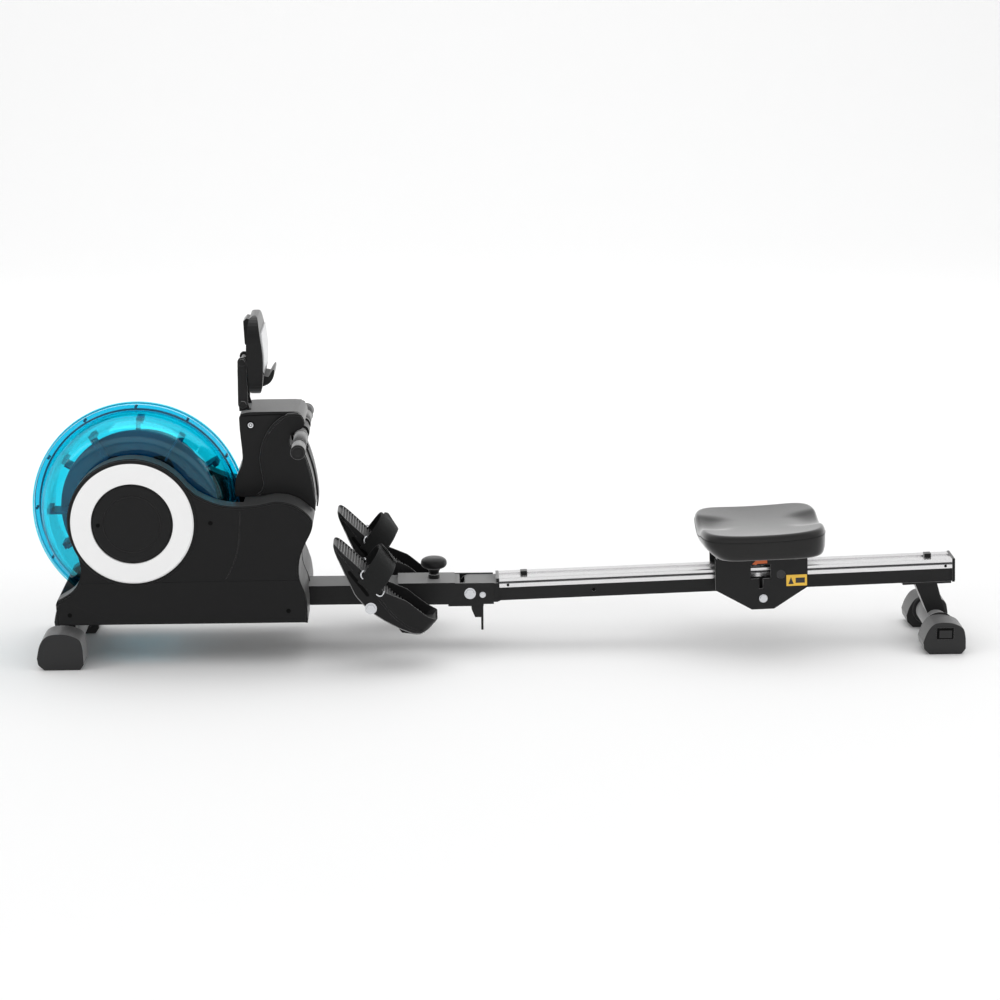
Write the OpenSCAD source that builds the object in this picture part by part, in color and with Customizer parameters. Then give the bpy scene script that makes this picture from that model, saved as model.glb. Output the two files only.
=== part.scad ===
// Folding water rowing machine, millimetres.
// X runs from the water tank (front) to the rear foot, Z is up, Y = 0 is the mid plane.

/* [Tank] */
// tank centre, distance in front of the origin
tank_x = 735; // [660:800]
// tank centre above the floor
tank_z = 300; // [290:330]
// outer radius of the bolted flange
tank_r = 218; // [190:230]
// from the mid plane to the flat outside of a tank side
tank_hw = 96; // [70:100]
// wall of the clear tank shells
tank_t = 4; // [3:0.5:6]
// flange thickness of one shell
flange_t = 7; // [5:10]
// radius where the flange begins
flange_in = 200; // [180:210]
// number of screws round the flange
flange_screw_n = 12; // [8:16]
// paddles on the impeller
paddle_n = 12; // [6:16]
// radius of the impeller disc
disc_r = 160; // [100:165]
// tip radius of the paddles
paddle_r = 182; // [120:185]

/* [Frame] */
// main beam width (square section tube stock)
beam_w = 80; // [60:100]
// main beam height
beam_h = 40; // [30:50]
// centre height of the beam
beam_z = 116; // [105:125]
// rear end of the beam, distance in front of the origin
beam_end = 90; // [60:120]
// front end of the single beam, distance in front of the origin
beam_front = 430; // [410:470]
// wall of the steel tubes
tube_t = 2; // [1.5:0.5:3]
// side tube width inside the covers
side_w = 28; // [20:32]
// distance from the mid plane to a side tube's centre
side_y = 125; // [120:127]
// stabiliser tube radius
foot_tube_r = 25; // [20:30]
// front stabiliser centre, distance in front of the origin
front_x = 880; // [840:900]
// rear stabiliser centre, distance behind the origin
rear_x = 909; // [860:940]
// stabiliser tube centre height
foot_z = 40; // [35:45]
// half length of the front stabiliser with its caps
front_hw = 168; // [150:220]
// half length of the rear stabiliser with its caps
rear_hw = 134; // [120:220]

/* [Covers] */
// from the mid plane to the outside of a side cover
cover_hw = 148; // [140:160]
// wall of the moulded covers
cover_t = 3; // [2:0.5:4]
// underside of the covers above the floor
cover_bottom = 88; // [80:92]
// outer radius of the light trim ring
ring_r = 123; // [100:128]
// inner radius of the trim ring
ring_in = 82; // [70:95]
// how far the trim ring stands off the cover
ring_h = 7; // [4:10]
// margin of the cover around the trim ring
ring_margin = 8; // [5:12]
// half width of the tower core
tower_hw = 64; // [55:72]
// thickness of a tower side panel
wing_t = 9; // [5:12]

/* [Drive] */
// jack shaft distance in front of the origin
jack_x = 470; // [450:490]
// jack shaft height
jack_z = 236; // [225:250]
// shaft radius
shaft_r = 8; // [6:10]
// impeller pulley belt radius
small_r = 28; // [24:32]
// drive pulley belt radius
large_r = 56; // [45:60]
// belt centre, distance from the mid plane
belt_y = 126; // [122:130]
// belt width
belt_w = 12; // [8:14]
// belt thickness
belt_t = 3; // [2:0.5:4]
// strap spool core radius
spool_r = 30; // [22:36]
// pull strap width
strap_w = 25; // [18:30]
// pull strap thickness
strap_t = 2; // [1.2:0.2:3]
// guide roller radius
guide_r = 12; // [9:14]

/* [Handle] */
// handle centre, distance in front of the origin
grip_x = 398; // [390:410]
// handle centre height
grip_z = 455; // [450:462]
// half length of the handle
grip_hw = 209; // [180:230]
// steel bar radius
bar_r = 10; // [8:12]
// foam grip radius
grip_r = 14; // [12:17]
// rise of the pull line in degrees
pull_rise = 8; // [5:12]

/* [Console] */
// arm pivot, distance in front of the origin
arm_x = 515; // [505:520]
// arm lower pivot height
arm_z0 = 519; // [515:525]
// arm length between pivots
arm_l = 86; // [70:100]
// half width of the console
console_hw = 85; // [60:100]
// half width of the arm
arm_hw = 38; // [28:45]

/* [Pedals] */
// distance from the mid plane to a pedal's centre
pedal_y = 138; // [130:160]
// pedal width
pedal_w = 98; // [90:110]
// pedal bolt, distance in front of the origin
pedal_x = 260; // [240:280]
// pedal bolt height
pedal_z = 129; // [126:130]
// pedal bolt radius
pedal_r = 5; // [4:5]
// slope of the sole in degrees
sole_a = 37.5; // [30:50]
// foot strap width
foot_strap_w = 50; // [35:60]
// inside height of the foot strap over the sole
foot_strap_h = 42; // [30:60]

/* [Hinge] */
// rail pivot, distance in front of the origin
hinge_x = 59; // [50:65]
// rail pivot bolt radius
hinge_r = 8; // [6:9]
// bracket side plate thickness
plate_t = 4; // [3:5]
// knob centre, distance in front of the origin
knob_x = 133; // [125:140]
// knob radius
knob_r = 27; // [20:30]

/* [Rail] */
// tilt of the rail in degrees
rail_a = 1.85; // [0:0.05:4]
// start of the rail behind the origin
rail_x = 1; // [0:4]
// top of the rail at its start
rail_z = 145.5; // [140:150]
// rail reach beyond the rear foot
rail_over = 35; // [20:60]
// aluminium track width
track_w = 62; // [50:70]
// aluminium track height
track_h = 20; // [16:26]
// steel rail tube width
rtube_w = 56; // [44:62]
// steel rail tube height
rtube_h = 28; // [24:34]

/* [Seat] */
// seat centre along the rail
seat_s = 538; // [480:600]
// seat length along the rail
seat_l = 258; // [220:280]
// seat half width
seat_hw = 136; // [115:150]
// underside of the cushion over the track
seat_z0 = 38; // [34:44]
// top edge of the cushion over the track
seat_z1 = 103; // [80:110]
// carriage plate, outside to the mid plane
carriage_hw = 60; // [50:66]
// track roller radius
roller_r = 12; // [9:14]
// roller width
roller_w = 18; // [12:24]
// distance between the two upper axles
roller_span = 130; // [90:150]

/* [Fit] */
// running clearance of shafts in bores, on the radius
run_c = 0.06; // [0.02:0.01:0.1]
// gap between parts that only pass each other
gap = 0.5; // [0.3:0.1:1.5]

/* [Hidden] */
$fn = 48;
tc = [-tank_x, 0, tank_z];
beam_top = beam_z + beam_h / 2;
beam_bot = beam_z - beam_h / 2;
well_hw = tank_hw + 7;
well_r = tank_r + 5;
side_in = side_y - side_w / 2;
side_front = front_x + 6;
cross_l = 30;
cover_in = cover_hw - cover_t;
hinge_z = beam_z + 1;
bracket_hw = beam_w / 2 + 2;
tongue_hw = bracket_hw - plate_t - gap;
tongue_r = 20;
bracket_top = beam_top + 3;
bracket_back = 10;
sleeve_l = 118;
pull_dir = [cos(pull_rise), 0, sin(pull_rise)];
// the strap leaves the roller's top and meets the handle's centre
guide_x = grip_x + 42;
guide_z = grip_z - 42 * tan(pull_rise) - (guide_r + strap_t / 2) / cos(pull_rise);
rail_h = track_h + rtube_h;
rail_l = rear_x + rail_over;
arm_z1 = arm_z0 + arm_l;
arm_t = 3.5;
ear_hw = arm_hw - arm_t - gap;
// pedal frame: s runs from heel to toe, n stands out of the sole
us = [-sin(90 - sole_a), cos(90 - sole_a)];
un = [cos(90 - sole_a), sin(90 - sole_a)];
heel_o = [-pedal_x + 134, pedal_z - 27];
strap_s = 128;
plate_y = carriage_hw - 3;
foot_cap_l = 70;
rear_cap_l = 66;

function cr(a, b, c, d, t) =
    0.5 * (2 * b + (c - a) * t + (2 * a - 5 * b + 4 * c - d) * t * t
    + (3 * b - a - 3 * c + d) * t * t * t);
// smooth open curve through the points
function smo(p, n = 4) = concat(
    [for (i = [0 : len(p) - 2]) for (k = [0 : n - 1])
        cr(p[max(i - 1, 0)], p[i], p[i + 1], p[min(i + 2, len(p) - 1)], k / n)],
    [p[len(p) - 1]]);
// smooth closed curve through the points
function smc(p, n = 4) = [for (i = [0 : len(p) - 1]) for (k = [0 : n - 1])
    cr(p[(i + len(p) - 1) % len(p)], p[i], p[(i + 1) % len(p)], p[(i + 2) % len(p)], k / n)];
function on_sole(s, n) = heel_o + s * us + n * un;
function arc(c, r, a0, a1, k) = [for (i = [0 : k])
    c + r * [cos(a0 + (a1 - a0) * i / k), sin(a0 + (a1 - a0) * i / k)]];

// a flat X,Z shape made thick between two Y values
module ythick(y0, y1) {
    translate([0, y1, 0]) rotate([90, 0, 0]) linear_extrude(y1 - y0) children();
}

// a cylinder along Y
module ycyl(r, y0, y1) {
    translate([0, y1, 0]) rotate([90, 0, 0]) cylinder(r = r, h = y1 - y0);
}

// a profile of (radius, Y) points turned about the Y axis
module yturn(p) {
    rotate([-90, 0, 0]) rotate_extrude($fn = 96) polygon(p);
}

module both() {
    children();
    mirror([0, 1, 0]) children();
}

module box(x0, x1, y0, y1, z0, z1) {
    translate([x0, y0, z0]) cube([x1 - x0, y1 - y0, z1 - z0]);
}

module on_rail() {
    translate([rail_x, 0, rail_z]) rotate([0, -rail_a, 0]) children();
}

module hexbolt(r, h) {
    cylinder(r = r * 1.15, h = h * 0.2);
    cylinder(r = r, h = h, $fn = 6);
}

// ---- frame ----
module main_beam() {
    color("#1b1b1d") difference() {
        box(-beam_front, -beam_end, -beam_w / 2, beam_w / 2, beam_bot, beam_top);
        box(-beam_front - 1, -beam_end + 1, -beam_w / 2 + tube_t, beam_w / 2 - tube_t,
            beam_bot + tube_t, beam_top - tube_t);
        translate([-pedal_x, 0, pedal_z]) ycyl(pedal_r + run_c, -beam_w, beam_w);
        translate([-knob_x, 0, beam_z]) cylinder(r = 7, h = beam_h);
    }
}

module side_rails() {
    color("#1b1b1d") both() difference() {
        union() {
            box(-side_front, -beam_front, side_in, side_in + side_w, beam_bot, beam_top);
            box(-beam_front, -beam_front + cross_l, beam_w / 2, side_in + side_w, beam_bot,
                beam_top);
        }
        box(-side_front - 1, -beam_front - 6, side_in + tube_t, side_in + side_w - tube_t,
            beam_bot + tube_t, beam_top - tube_t);
        box(-beam_front + tube_t, -beam_front + cross_l - tube_t, beam_w / 2 + 6,
            side_in + side_w - tube_t, beam_bot + tube_t, beam_top - tube_t);
    }
}

module beam_sleeve() {
    x0 = -beam_end - sleeve_l;
    color("#202022") difference() {
        union() {
            box(x0, -beam_end, -bracket_hw, bracket_hw, beam_bot - 2, beam_top + 4);
            translate([-knob_x, 0, beam_top]) cylinder(r = 12, h = 12);
        }
        box(x0 - 1, -beam_end + 1, -beam_w / 2, beam_w / 2, beam_bot, beam_top);
        translate([-knob_x, 0, beam_z]) cylinder(r = 6 + run_c, h = 60);
    }
}

module hinge_bracket() {
    color("#202022") {
        both() difference() {
            box(-beam_end, -bracket_back, bracket_hw - plate_t, bracket_hw,
                beam_bot - 2, bracket_top);
            translate([-hinge_x, 0, hinge_z]) ycyl(hinge_r, 0, 90);
            translate([-hinge_x + 26, 0, hinge_z - 3]) ycyl(5, 0, 90);
        }
        box(-beam_end, -hinge_x + 28, -bracket_hw, bracket_hw, beam_bot - 6, beam_bot - 2);
        box(-beam_end - 14, -beam_end, -bracket_hw, bracket_hw, beam_bot - 6, beam_bot - 2);
        // top bridge just ahead of the tongue's round end
        box(-beam_end - 0.01, -hinge_x - tongue_r - 1, -bracket_hw + 1, bracket_hw - 1,
            beam_top - 2, beam_top + 2);
        both() box(-beam_end - 0.01, -hinge_x + 28, bracket_hw - plate_t, bracket_hw,
            beam_bot - 3, beam_bot - 1);
        // hanging stop tab with its rod
        ythick(-38, -34) polygon([[-57, beam_bot - 4], [-33, beam_bot - 4], [-33, 65],
            [-49, 65], [-56, 82]]);
        translate([-34, -36, 38]) cylinder(r = 2.5, h = beam_bot - 42);
    }
}

module hinge_bolts() {
    color("#c9ccd0") {
        translate([-hinge_x, 0, hinge_z]) {
            ycyl(hinge_r - run_c, -bracket_hw - 1, bracket_hw + 9);
            translate([0, -bracket_hw, 0]) rotate([90, 0, 0]) hexbolt(9.5, 6);
            translate([0, bracket_hw, 0]) rotate([-90, 0, 0]) hexbolt(9.5, 6);
        }
        both() translate([-hinge_x + 26, -bracket_hw, hinge_z - 3]) {
            rotate([90, 0, 0]) hexbolt(5.5, 4);
            ycyl(5 - run_c, -1, plate_t + 0.3);
        }
    }
}

module fold_knob() {
    color("#141414") translate([-knob_x, 0, 0]) {
        translate([0, 0, beam_top - 4]) cylinder(r = 6, h = 34);
        translate([0, 0, beam_top + 13]) rotate_extrude() polygon([[0, 0], [10, 0], [11, 8],
            [knob_r - 5, 14], [knob_r - 1, 19], [knob_r, 24], [knob_r - 2, 29],
            [knob_r - 8, 33], [12, 35.5], [0, 36]]);
    }
}

module front_tube() {
    color("#1b1b1d") difference() {
        union() {
            translate([-front_x, 0, foot_z]) ycyl(foot_tube_r, -front_hw + 8, front_hw - 8);
            both() box(-front_x - 5, -front_x + 16, 58, front_hw - foot_cap_l - 5,
                foot_z + 10, beam_bot - 4);
            box(-side_front, -side_front + 40, -side_in - side_w, side_in + side_w,
                beam_bot - 5, beam_bot);
        }
        translate([-front_x, 0, foot_z])
            ycyl(foot_tube_r - tube_t, -front_hw - 8, front_hw + 8);
    }
}

module cap_shape(w, h, lean) {
    polygon(concat(
        [[-w / 2 + 14, 0], [-w / 2 + 2, 12]],
        smo([[-w / 2, 26], [-w / 2 + 6, h - 24], [-w / 2 + 16, h - 8], [-w * 0.18, h - 1],
            [w * 0.06, h], [w * 0.26, h - 4], [w / 2 - 6, h - 14], [w / 2 - 1, h - 34]]),
        [[w / 2 - lean, 12], [w / 2 - lean, 0]]));
}

module front_caps() {
    color("#151516") both() translate([-front_x - 8, 0, 0]) difference() {
        union() {
            ythick(front_hw - foot_cap_l, front_hw - 3) cap_shape(94, 76, 0);
            ythick(front_hw - 3.1, front_hw) offset(delta = -2.5) cap_shape(94, 76, 0);
        }
        translate([8, 0, foot_z]) ycyl(foot_tube_r, front_hw - foot_cap_l - 1, front_hw - 8);
    }
}

// ---- tank ----
shell_p = [[16, tank_hw], [165, tank_hw], [176, tank_hw - 5], [186, tank_hw - 18],
    [193, tank_hw - 38], [198, tank_hw - 64], [flange_in, flange_t + 6], [flange_in + 3, flange_t],
    [tank_r, flange_t], [tank_r, 1], [flange_in - 4, 1], [flange_in - 4, flange_t + 4],
    [194 - tank_t / 2, tank_hw - 62], [189 - tank_t / 2, tank_hw - 40],
    [182 - tank_t / 2, tank_hw - 22], [173 - tank_t / 2, tank_hw - 10],
    [163, tank_hw - tank_t], [16, tank_hw - tank_t]];

module tank_shell_a() {
    color("#3fd8ea", 0.4) translate(tc) difference() {
        mirror([0, 1, 0]) yturn(shell_p);
        flange_holes();
    }
}

module flange_holes() {
    for (i = [0 : flange_screw_n - 1]) rotate([0, i * 360 / flange_screw_n, 0])
        translate([209, 0, 0]) ycyl(1.7, -20, 20);
}

module tank_shell_b() {
    mirror([0, 1, 0]) tank_shell_a();
}

module tank_gasket() {
    color("#0c0c0c") translate(tc) difference() {
        yturn([[flange_in - 2, -1], [tank_r - 0.5, -1], [tank_r - 0.5, 1], [flange_in - 2, 1]]);
        flange_holes();
    }
}

module case_screws() {
    color("#8f979c") {
        translate(tc) for (i = [0 : flange_screw_n - 1])
            rotate([0, i * 360 / flange_screw_n, 0]) translate([209, 0, 0]) {
                ycyl(1.6, -flange_t - 0.5, flange_t + 0.5);
                ycyl(2.8, -flange_t - 1.6, -flange_t);
                ycyl(2.8, flange_t, flange_t + 1.6);
            }
        both() for (p = screw_pts) translate([p[0], -cover_hw, p[1]])
            ycyl(4, 1, cover_t);
    }
}

// ---- covers ----
ring_c = [-tank_x, tank_z];
// cover screws: X and Z of each
screw_pts = [[-579, 299], [-867, 111], [-427, 115]];
cover_pts = concat(
    [[-893, cover_bottom], [-895, 132]],
    smo([[-892, 140], [-883, 145], [-859, 161], [-845, 185], [-842, 208], [-848, 238]], 3),
    arc(ring_c, ring_r + ring_margin, 197, 35, 22),
    smo([[-607, 356], [-577, 341], [-548, 333], [-515, 331], [-480, 334], [-452, 340],
        [-427, 338], [-404, 329], [-384, 313], [-375, 297], [-379, 276], [-393, 248],
        [-403, 218], [-404, 181], [-393, 149], [-389, 120]], 3),
    [[-389, cover_bottom]]);

module cover_a() {
    color("#17181a") difference() {
        union() {
            ythick(-cover_hw + 5, 0) polygon(cover_pts);
            ythick(-cover_hw + 2, -cover_hw + 5.1) offset(delta = -1.4) polygon(cover_pts);
            ythick(-cover_hw, -cover_hw + 2.1) offset(delta = -4) polygon(cover_pts);
        }
        difference() {
            ythick(-cover_in, 1) {
                offset(delta = -cover_t - 1.5) polygon(cover_pts);
                polygon([[-888, 40], [-394, 40], [-394, 118], [-888, 118]]);
            }
            translate(tc) ycyl(well_r + cover_t, -well_hw - cover_t, 2);
        }
        translate(tc) ycyl(well_r, -well_hw, 2);
        translate(tc) ycyl(40, -well_hw - 10, 0);
        translate(tc) ycyl(ring_in - 4, -cover_hw - 5, -well_hw - 10);
        // opening under the tower
        box(-504, -396, -tower_hw + 8.3, 1, 262, 420);
        // beam way out of the rear wall
        box(-430, -360, -beam_w / 2 - gap, 1, 0, beam_top + gap);
        for (p = screw_pts) translate([p[0], -cover_hw, p[1]]) ycyl(4, -2, cover_t + 6);
    }
}

module cover_b() {
    mirror([0, 1, 0]) cover_a();
}

module trim_rings() {
    color("#f2f2f0") both() translate([-tank_x, -cover_hw, tank_z]) mirror([0, 1, 0])
        yturn([[ring_in, 0], [ring_in, ring_h - 1], [ring_in + 2, ring_h], [ring_r - 3, ring_h],
            [ring_r, ring_h - 3], [ring_r, 0]]);
}

module hub_caps() {
    color("#1a1b1d") both() translate([-tank_x, -cover_hw, tank_z]) mirror([0, 1, 0])
        yturn([[0, 0], [0, 5], [55, 5], [56, 4], [58, 4], [59, 5], [ring_in - 6, 5],
            [ring_in - 1, 2], [ring_in - 0.5, 0], [ring_in - 4.05, 0],
            [ring_in - 4.05, -2.8], [ring_in - 8, -2.8], [ring_in - 8, 0]]);
}

tower_pts = concat(
    smo([[-525, 312], [-535, 328], [-532, 368], [-521, 394], [-517, 417], [-521, 468],
        [-522, 496]], 3),
    smo([[-518, 504], [-500, 507.5], [-460, 508], [-413, 508]], 3),
    smo([[-403, 507], [-393, 497], [-390, 485], [-397, 474]], 3),
    smo([[-414, 468], [-420, 455], [-419, 440], [-410, 432]], 3),
    smo([[-394, 429], [-386, 408], [-378, 380], [-373, 350], [-371, 322]], 3),
    [[-376, 312], [-400, 312]]);

module tower_core() {
    color("#16171a") difference() {
        ythick(-tower_hw, tower_hw) polygon(tower_pts);
        ythick(-tower_hw + cover_t, tower_hw - cover_t) offset(delta = -cover_t)
            polygon(tower_pts);
        box(-504, -396, -tower_hw + 8, tower_hw - 8, 250, 345);
        box(-430, -340, -19, 19, 330, 463);
        // lower edge follows the side covers
        both() ythick(-tower_hw - 1, -tower_hw + cover_t + 1) offset(delta = 0.3)
            polygon([[-540, 300], [-540, 334], [-515, 331.4], [-480, 334.4], [-452, 340.4],
                [-427, 338.4], [-404, 329.4], [-384, 314], [-370, 300]]);
        translate([0, 0, 0]) difference() {
            ythick(-tower_hw - 1, tower_hw + 1) offset(delta = 0.4) polygon(cover_pts);
            ythick(-tower_hw + 8, tower_hw - 8) polygon([[-504, 300], [-396, 300],
                [-396, 420], [-504, 420]]);
        }
        translate([-guide_x, 0, guide_z]) ycyl(5, -tower_hw + cover_t - 0.4, tower_hw - cover_t + 0.4);
        // way past the tank
        translate(tc) ycyl(tank_r + 3, -flange_t - 7, flange_t + 7);
        translate(tc) ycyl(flange_in + 5, -tower_hw - 2, tower_hw + 2);
    }
}

wing_pts = concat(
    smo([[-423, 505], [-446, 486], [-473, 452], [-482, 411], [-476, 366], [-478, 350]], 3),
    [[-486, 335.5], [-452, 341], [-427, 339.3], [-404, 330.4], [-384, 314.5], [-372, 303]],
    smo([[-371, 325], [-375, 352], [-381, 384], [-389, 411], [-394, 421]], 3),
    smo([[-405, 424], [-418, 438], [-421, 452], [-416, 466]], 3),
    smo([[-397, 473], [-390, 484], [-393, 497], [-403, 506]], 3));

module tower_wings() {
    color("#1b1c1f") both() {
        ythick(-tower_hw - wing_t + 2, -tower_hw) polygon(wing_pts);
        ythick(-tower_hw - wing_t, -tower_hw - wing_t + 2.1) offset(delta = -2)
            polygon(wing_pts);
    }
}

spine_pts = smo([[-398, 434], [-390, 428], [-382, 408], [-374, 380], [-369, 350],
    [-367, 322], [-369, 300]], 3);
module tower_spine() {
    color("#303236") difference() {
        ythick(-18.5, 18.5) polygon(concat(spine_pts,
            [for (i = [len(spine_pts) - 1 : -1 : 0]) spine_pts[i] - [cover_t, 0]]));
        box(-430, -372, -60, 60, 420, 431);
    }
    color("#303236") ythick(-18.5, 18.5) polygon([[-398, 434], [-390, 431.5], [-390, 437],
        [-394, 440], [-400, 440]]);
}

// ---- drive ----
module bearing_posts() {
    color("#5b5f64") {
        both() difference() {
            union() {
                ythick(side_in + 1, side_in + 5) polygon([[-tank_x - 45, beam_top],
                    [-tank_x + 45, beam_top], [-tank_x + 24, tank_z + 20],
                    [-tank_x - 24, tank_z + 20]]);
                translate(tc) ycyl(20, tank_hw + gap, side_in + 5);
            }
            translate(tc) ycyl(shaft_r + run_c, 0, 200);
        }
        // jack shaft cheeks stand on the beam's cross piece
        for (y = [-48, 44, 96]) difference() {
            ythick(y, y + 4) polygon([[-jack_x - 26, jack_z + 14], [-jack_x + 10, jack_z + 20],
                [-beam_front + 30, beam_top], [-beam_front + 2, beam_top], [-jack_x - 26, jack_z - 20]]);
            translate([-jack_x, 0, jack_z]) ycyl(shaft_r, 0, 200);
            translate([-jack_x, 0, jack_z]) ycyl(shaft_r, -200, 0);
        }
    }
}

module jack_axle() {
    color("#b8bcc0") {
        translate([-jack_x, 0, jack_z]) ycyl(shaft_r, -52, belt_y + 12);
        translate([-guide_x, 0, guide_z]) ycyl(5, -tower_hw + cover_t - 0.4, tower_hw - cover_t + 0.4);
    }
}

module impeller_shaft() {
    color("#c4c8cc") translate(tc) {
        ycyl(shaft_r, -side_in - 8, belt_y + 10);
        difference() {
            yturn([[shaft_r - 1, belt_y - belt_w / 2 - 2], [small_r + 3, belt_y - belt_w / 2 - 2],
                [small_r + 3, belt_y - belt_w / 2 - 0.5], [small_r - 0.2, belt_y - belt_w / 2 - 0.5],
                [small_r - 0.2, belt_y + belt_w / 2 + 0.5], [small_r + 3, belt_y + belt_w / 2 + 0.5],
                [small_r + 3, belt_y + belt_w / 2 + 2], [shaft_r - 1, belt_y + belt_w / 2 + 2]]);
            for (i = [0 : 4]) rotate([0, i * 72, 0]) translate([18, 0, 0]) ycyl(4, 100, 150);
        }
    }
}

module impeller() {
    color("#d7dde0") translate(tc) {
        difference() {
            union() {
                ycyl(26, -60, 60);
                ycyl(disc_r, -3, 3);
            }
            ycyl(shaft_r, -61, 61);
            for (i = [0 : 5]) rotate([0, i * 60, 0]) translate([88, 0, 0]) ycyl(30, -9, 9);
        }
        for (i = [0 : paddle_n - 1]) rotate([0, i * 360 / paddle_n, 0])
            mirror([0, i % 2, 0]) translate([0, -2, 0]) {
                box(disc_r - 40, disc_r - 34, -44, 4, -1.8, 1.8);
                box(disc_r - 34, paddle_r - 8, -54, 4, -1.8, 1.8);
                box(paddle_r - 10, paddle_r, -54, -8, -11, 1.8);
            }
    }
}

module large_pulley() {
    color("#26282b") translate([-jack_x, 0, jack_z]) difference() {
        yturn([[shaft_r + run_c, belt_y - 14], [20, belt_y - 14], [20, belt_y - 5],
            [large_r - 8, belt_y - 5], [large_r - 8, belt_y - belt_w / 2 - 2],
            [large_r + 2.4, belt_y - belt_w / 2 - 2], [large_r + 2.4, belt_y - belt_w / 2 - 0.5],
            [large_r - 0.2, belt_y - belt_w / 2 - 0.5], [large_r - 0.2, belt_y + belt_w / 2 + 0.5],
            [large_r + 2.4, belt_y + belt_w / 2 + 0.5], [large_r + 2.4, belt_y + belt_w / 2 + 2],
            [large_r - 8, belt_y + belt_w / 2 + 2], [large_r - 8, belt_y + 4], [20, belt_y + 4],
            [20, belt_y + 9], [shaft_r + run_c, belt_y + 9]]);
        for (i = [0 : 5]) rotate([0, i * 60, 0]) translate([34, 0, 0]) ycyl(8, 100, 150);
    }
}

module drive_belt() {
    p = [-tank_x, tank_z];
    q = [-jack_x, jack_z];
    color("#101010") ythick(belt_y - belt_w / 2, belt_y + belt_w / 2) difference() {
        hull() {
            translate(p) circle(r = small_r + belt_t, $fn = 64);
            translate(q) circle(r = large_r + belt_t, $fn = 64);
        }
        hull() {
            translate(p) circle(r = small_r + 0.1, $fn = 64);
            translate(q) circle(r = large_r + 0.1, $fn = 64);
        }
    }
}

module strap_spool() {
    color("#2b2d30") translate([-jack_x, 0, jack_z])
        yturn([[shaft_r + run_c, -40], [40, -40], [40, -strap_w / 2 - 4], [44, -strap_w / 2 - 4],
            [44, -strap_w / 2 - 1], [spool_r, -strap_w / 2 - 1], [spool_r, strap_w / 2 + 1],
            [44, strap_w / 2 + 1], [44, strap_w / 2 + 4], [18, strap_w / 2 + 4],
            [18, 43], [shaft_r + run_c, 43]]);
}

module guide_roller() {
    color("#d9dadb") translate([-guide_x, 0, guide_z])
        yturn([[5 + run_c, -17], [guide_r + 3, -17], [guide_r + 3, -15], [guide_r, -14],
            [guide_r, 14], [guide_r + 3, 15], [guide_r + 3, 17], [5 + run_c, 17]]);
}

// ---- handle ----
module handle_bar() {
    color("#191a1c") translate([-grip_x, 0, grip_z]) {
        difference() {
            ycyl(bar_r, -grip_hw + 4, grip_hw - 4);
            ycyl(bar_r - 2, -grip_hw, -30);
            ycyl(bar_r - 2, 30, grip_hw);
        }
        both() ycyl(grip_r + 0.5, 58, 66);
    }
}

module handle_grips() {
    color("#101010") translate([-grip_x, 0, grip_z]) both() difference() {
        union() {
            ycyl(grip_r, 66, grip_hw - 4);
            ycyl(grip_r + 1, grip_hw - 4, grip_hw);
            ycyl(grip_r + 1, 150, 154);
        }
        ycyl(bar_r, 60, grip_hw - 3.9);
    }
}

module strap_clamp() {
    color("#2a2b2d") translate([-grip_x, 0, grip_z]) difference() {
        union() {
            ycyl(bar_r + 5, -20, 20);
            rotate([0, -pull_rise, 0]) box(-22, 0, -16, 16, -4, 4);
        }
        ycyl(bar_r, -21, 21);
    }
}

module pull_strap() {
    color("#1d1d1f") {
        translate([-grip_x, 0, grip_z]) rotate([0, -pull_rise, 0])
            box(-42.4, -22.05, -strap_w / 2, strap_w / 2, -strap_t / 2, strap_t / 2);
    }
}

// ---- console ----
module console_arm() {
    color("#151618") {
        both() difference() {
            union() {
                ythick(arm_hw - arm_t, arm_hw) polygon([[-arm_x - 10, arm_z0], [-arm_x + 10, arm_z0],
                    [-arm_x + 9, arm_z1], [-arm_x - 9, arm_z1]]);
                translate([-arm_x, 0, arm_z0]) ycyl(10, arm_hw - arm_t, arm_hw);
                translate([-arm_x, 0, arm_z1]) ycyl(9, arm_hw - arm_t, arm_hw);
            }
            translate([-arm_x, 0, arm_z0]) ycyl(4 + run_c, 0, 90);
            translate([-arm_x, 0, arm_z1]) ycyl(4 + run_c, 0, 90);
        }
        box(-arm_x - 9.5, -arm_x - 6.5, -arm_hw + 1, arm_hw - 1, arm_z0 + 16, arm_z1 - 16);
        translate([-arm_x, 0, arm_z1]) ycyl(4, -arm_hw + 0.5, arm_hw - 0.5);
        both() translate([-arm_x, arm_hw - 0.5, arm_z1]) rotate([-90, 0, 0]) hexbolt(7, 5);
    }
}

module console_mount() {
    color("#1c1d20") {
        both() difference() {
            union() {
                ythick(ear_hw - 4, ear_hw) polygon([[-arm_x - 8, 503], [-arm_x + 14, 507.5],
                    [-arm_x + 9, arm_z0 + 4], [-arm_x - 9, arm_z0 + 4]]);
                translate([-arm_x, 0, arm_z0]) ycyl(9.5, ear_hw - 4, ear_hw);
            }
            translate([-arm_x, 0, arm_z0]) ycyl(4, 0, 90);
        }
        translate([-arm_x, 0, arm_z0]) ycyl(4, -arm_hw - 2, arm_hw + 2);
        both() translate([-arm_x, arm_hw + 0.4, arm_z0]) rotate([-90, 0, 0]) hexbolt(7, 5);
    }
}

console_pts = concat(
    smo([[-500, 548], [-495, 541], [-484, 540], [-476, 548], [-471, 580], [-470, 625],
        [-475, 665], [-479, 690]], 3),
    smo([[-481, 697], [-487, 700], [-495, 697], [-499, 688], [-503, 640], [-501, 600]], 3));

face_pts = [[-475.2, 668], [-471.6, 625], [-472.2, 586], [-468.4, 586], [-467.6, 625],
    [-472, 668.4]];
ledge_pts = concat([[-474.5, 556], [-472.2, 577]], smo([[-462, 575], [-454, 588], [-450, 588],
    [-452, 574], [-460, 562], [-472, 556]], 3));

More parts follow.
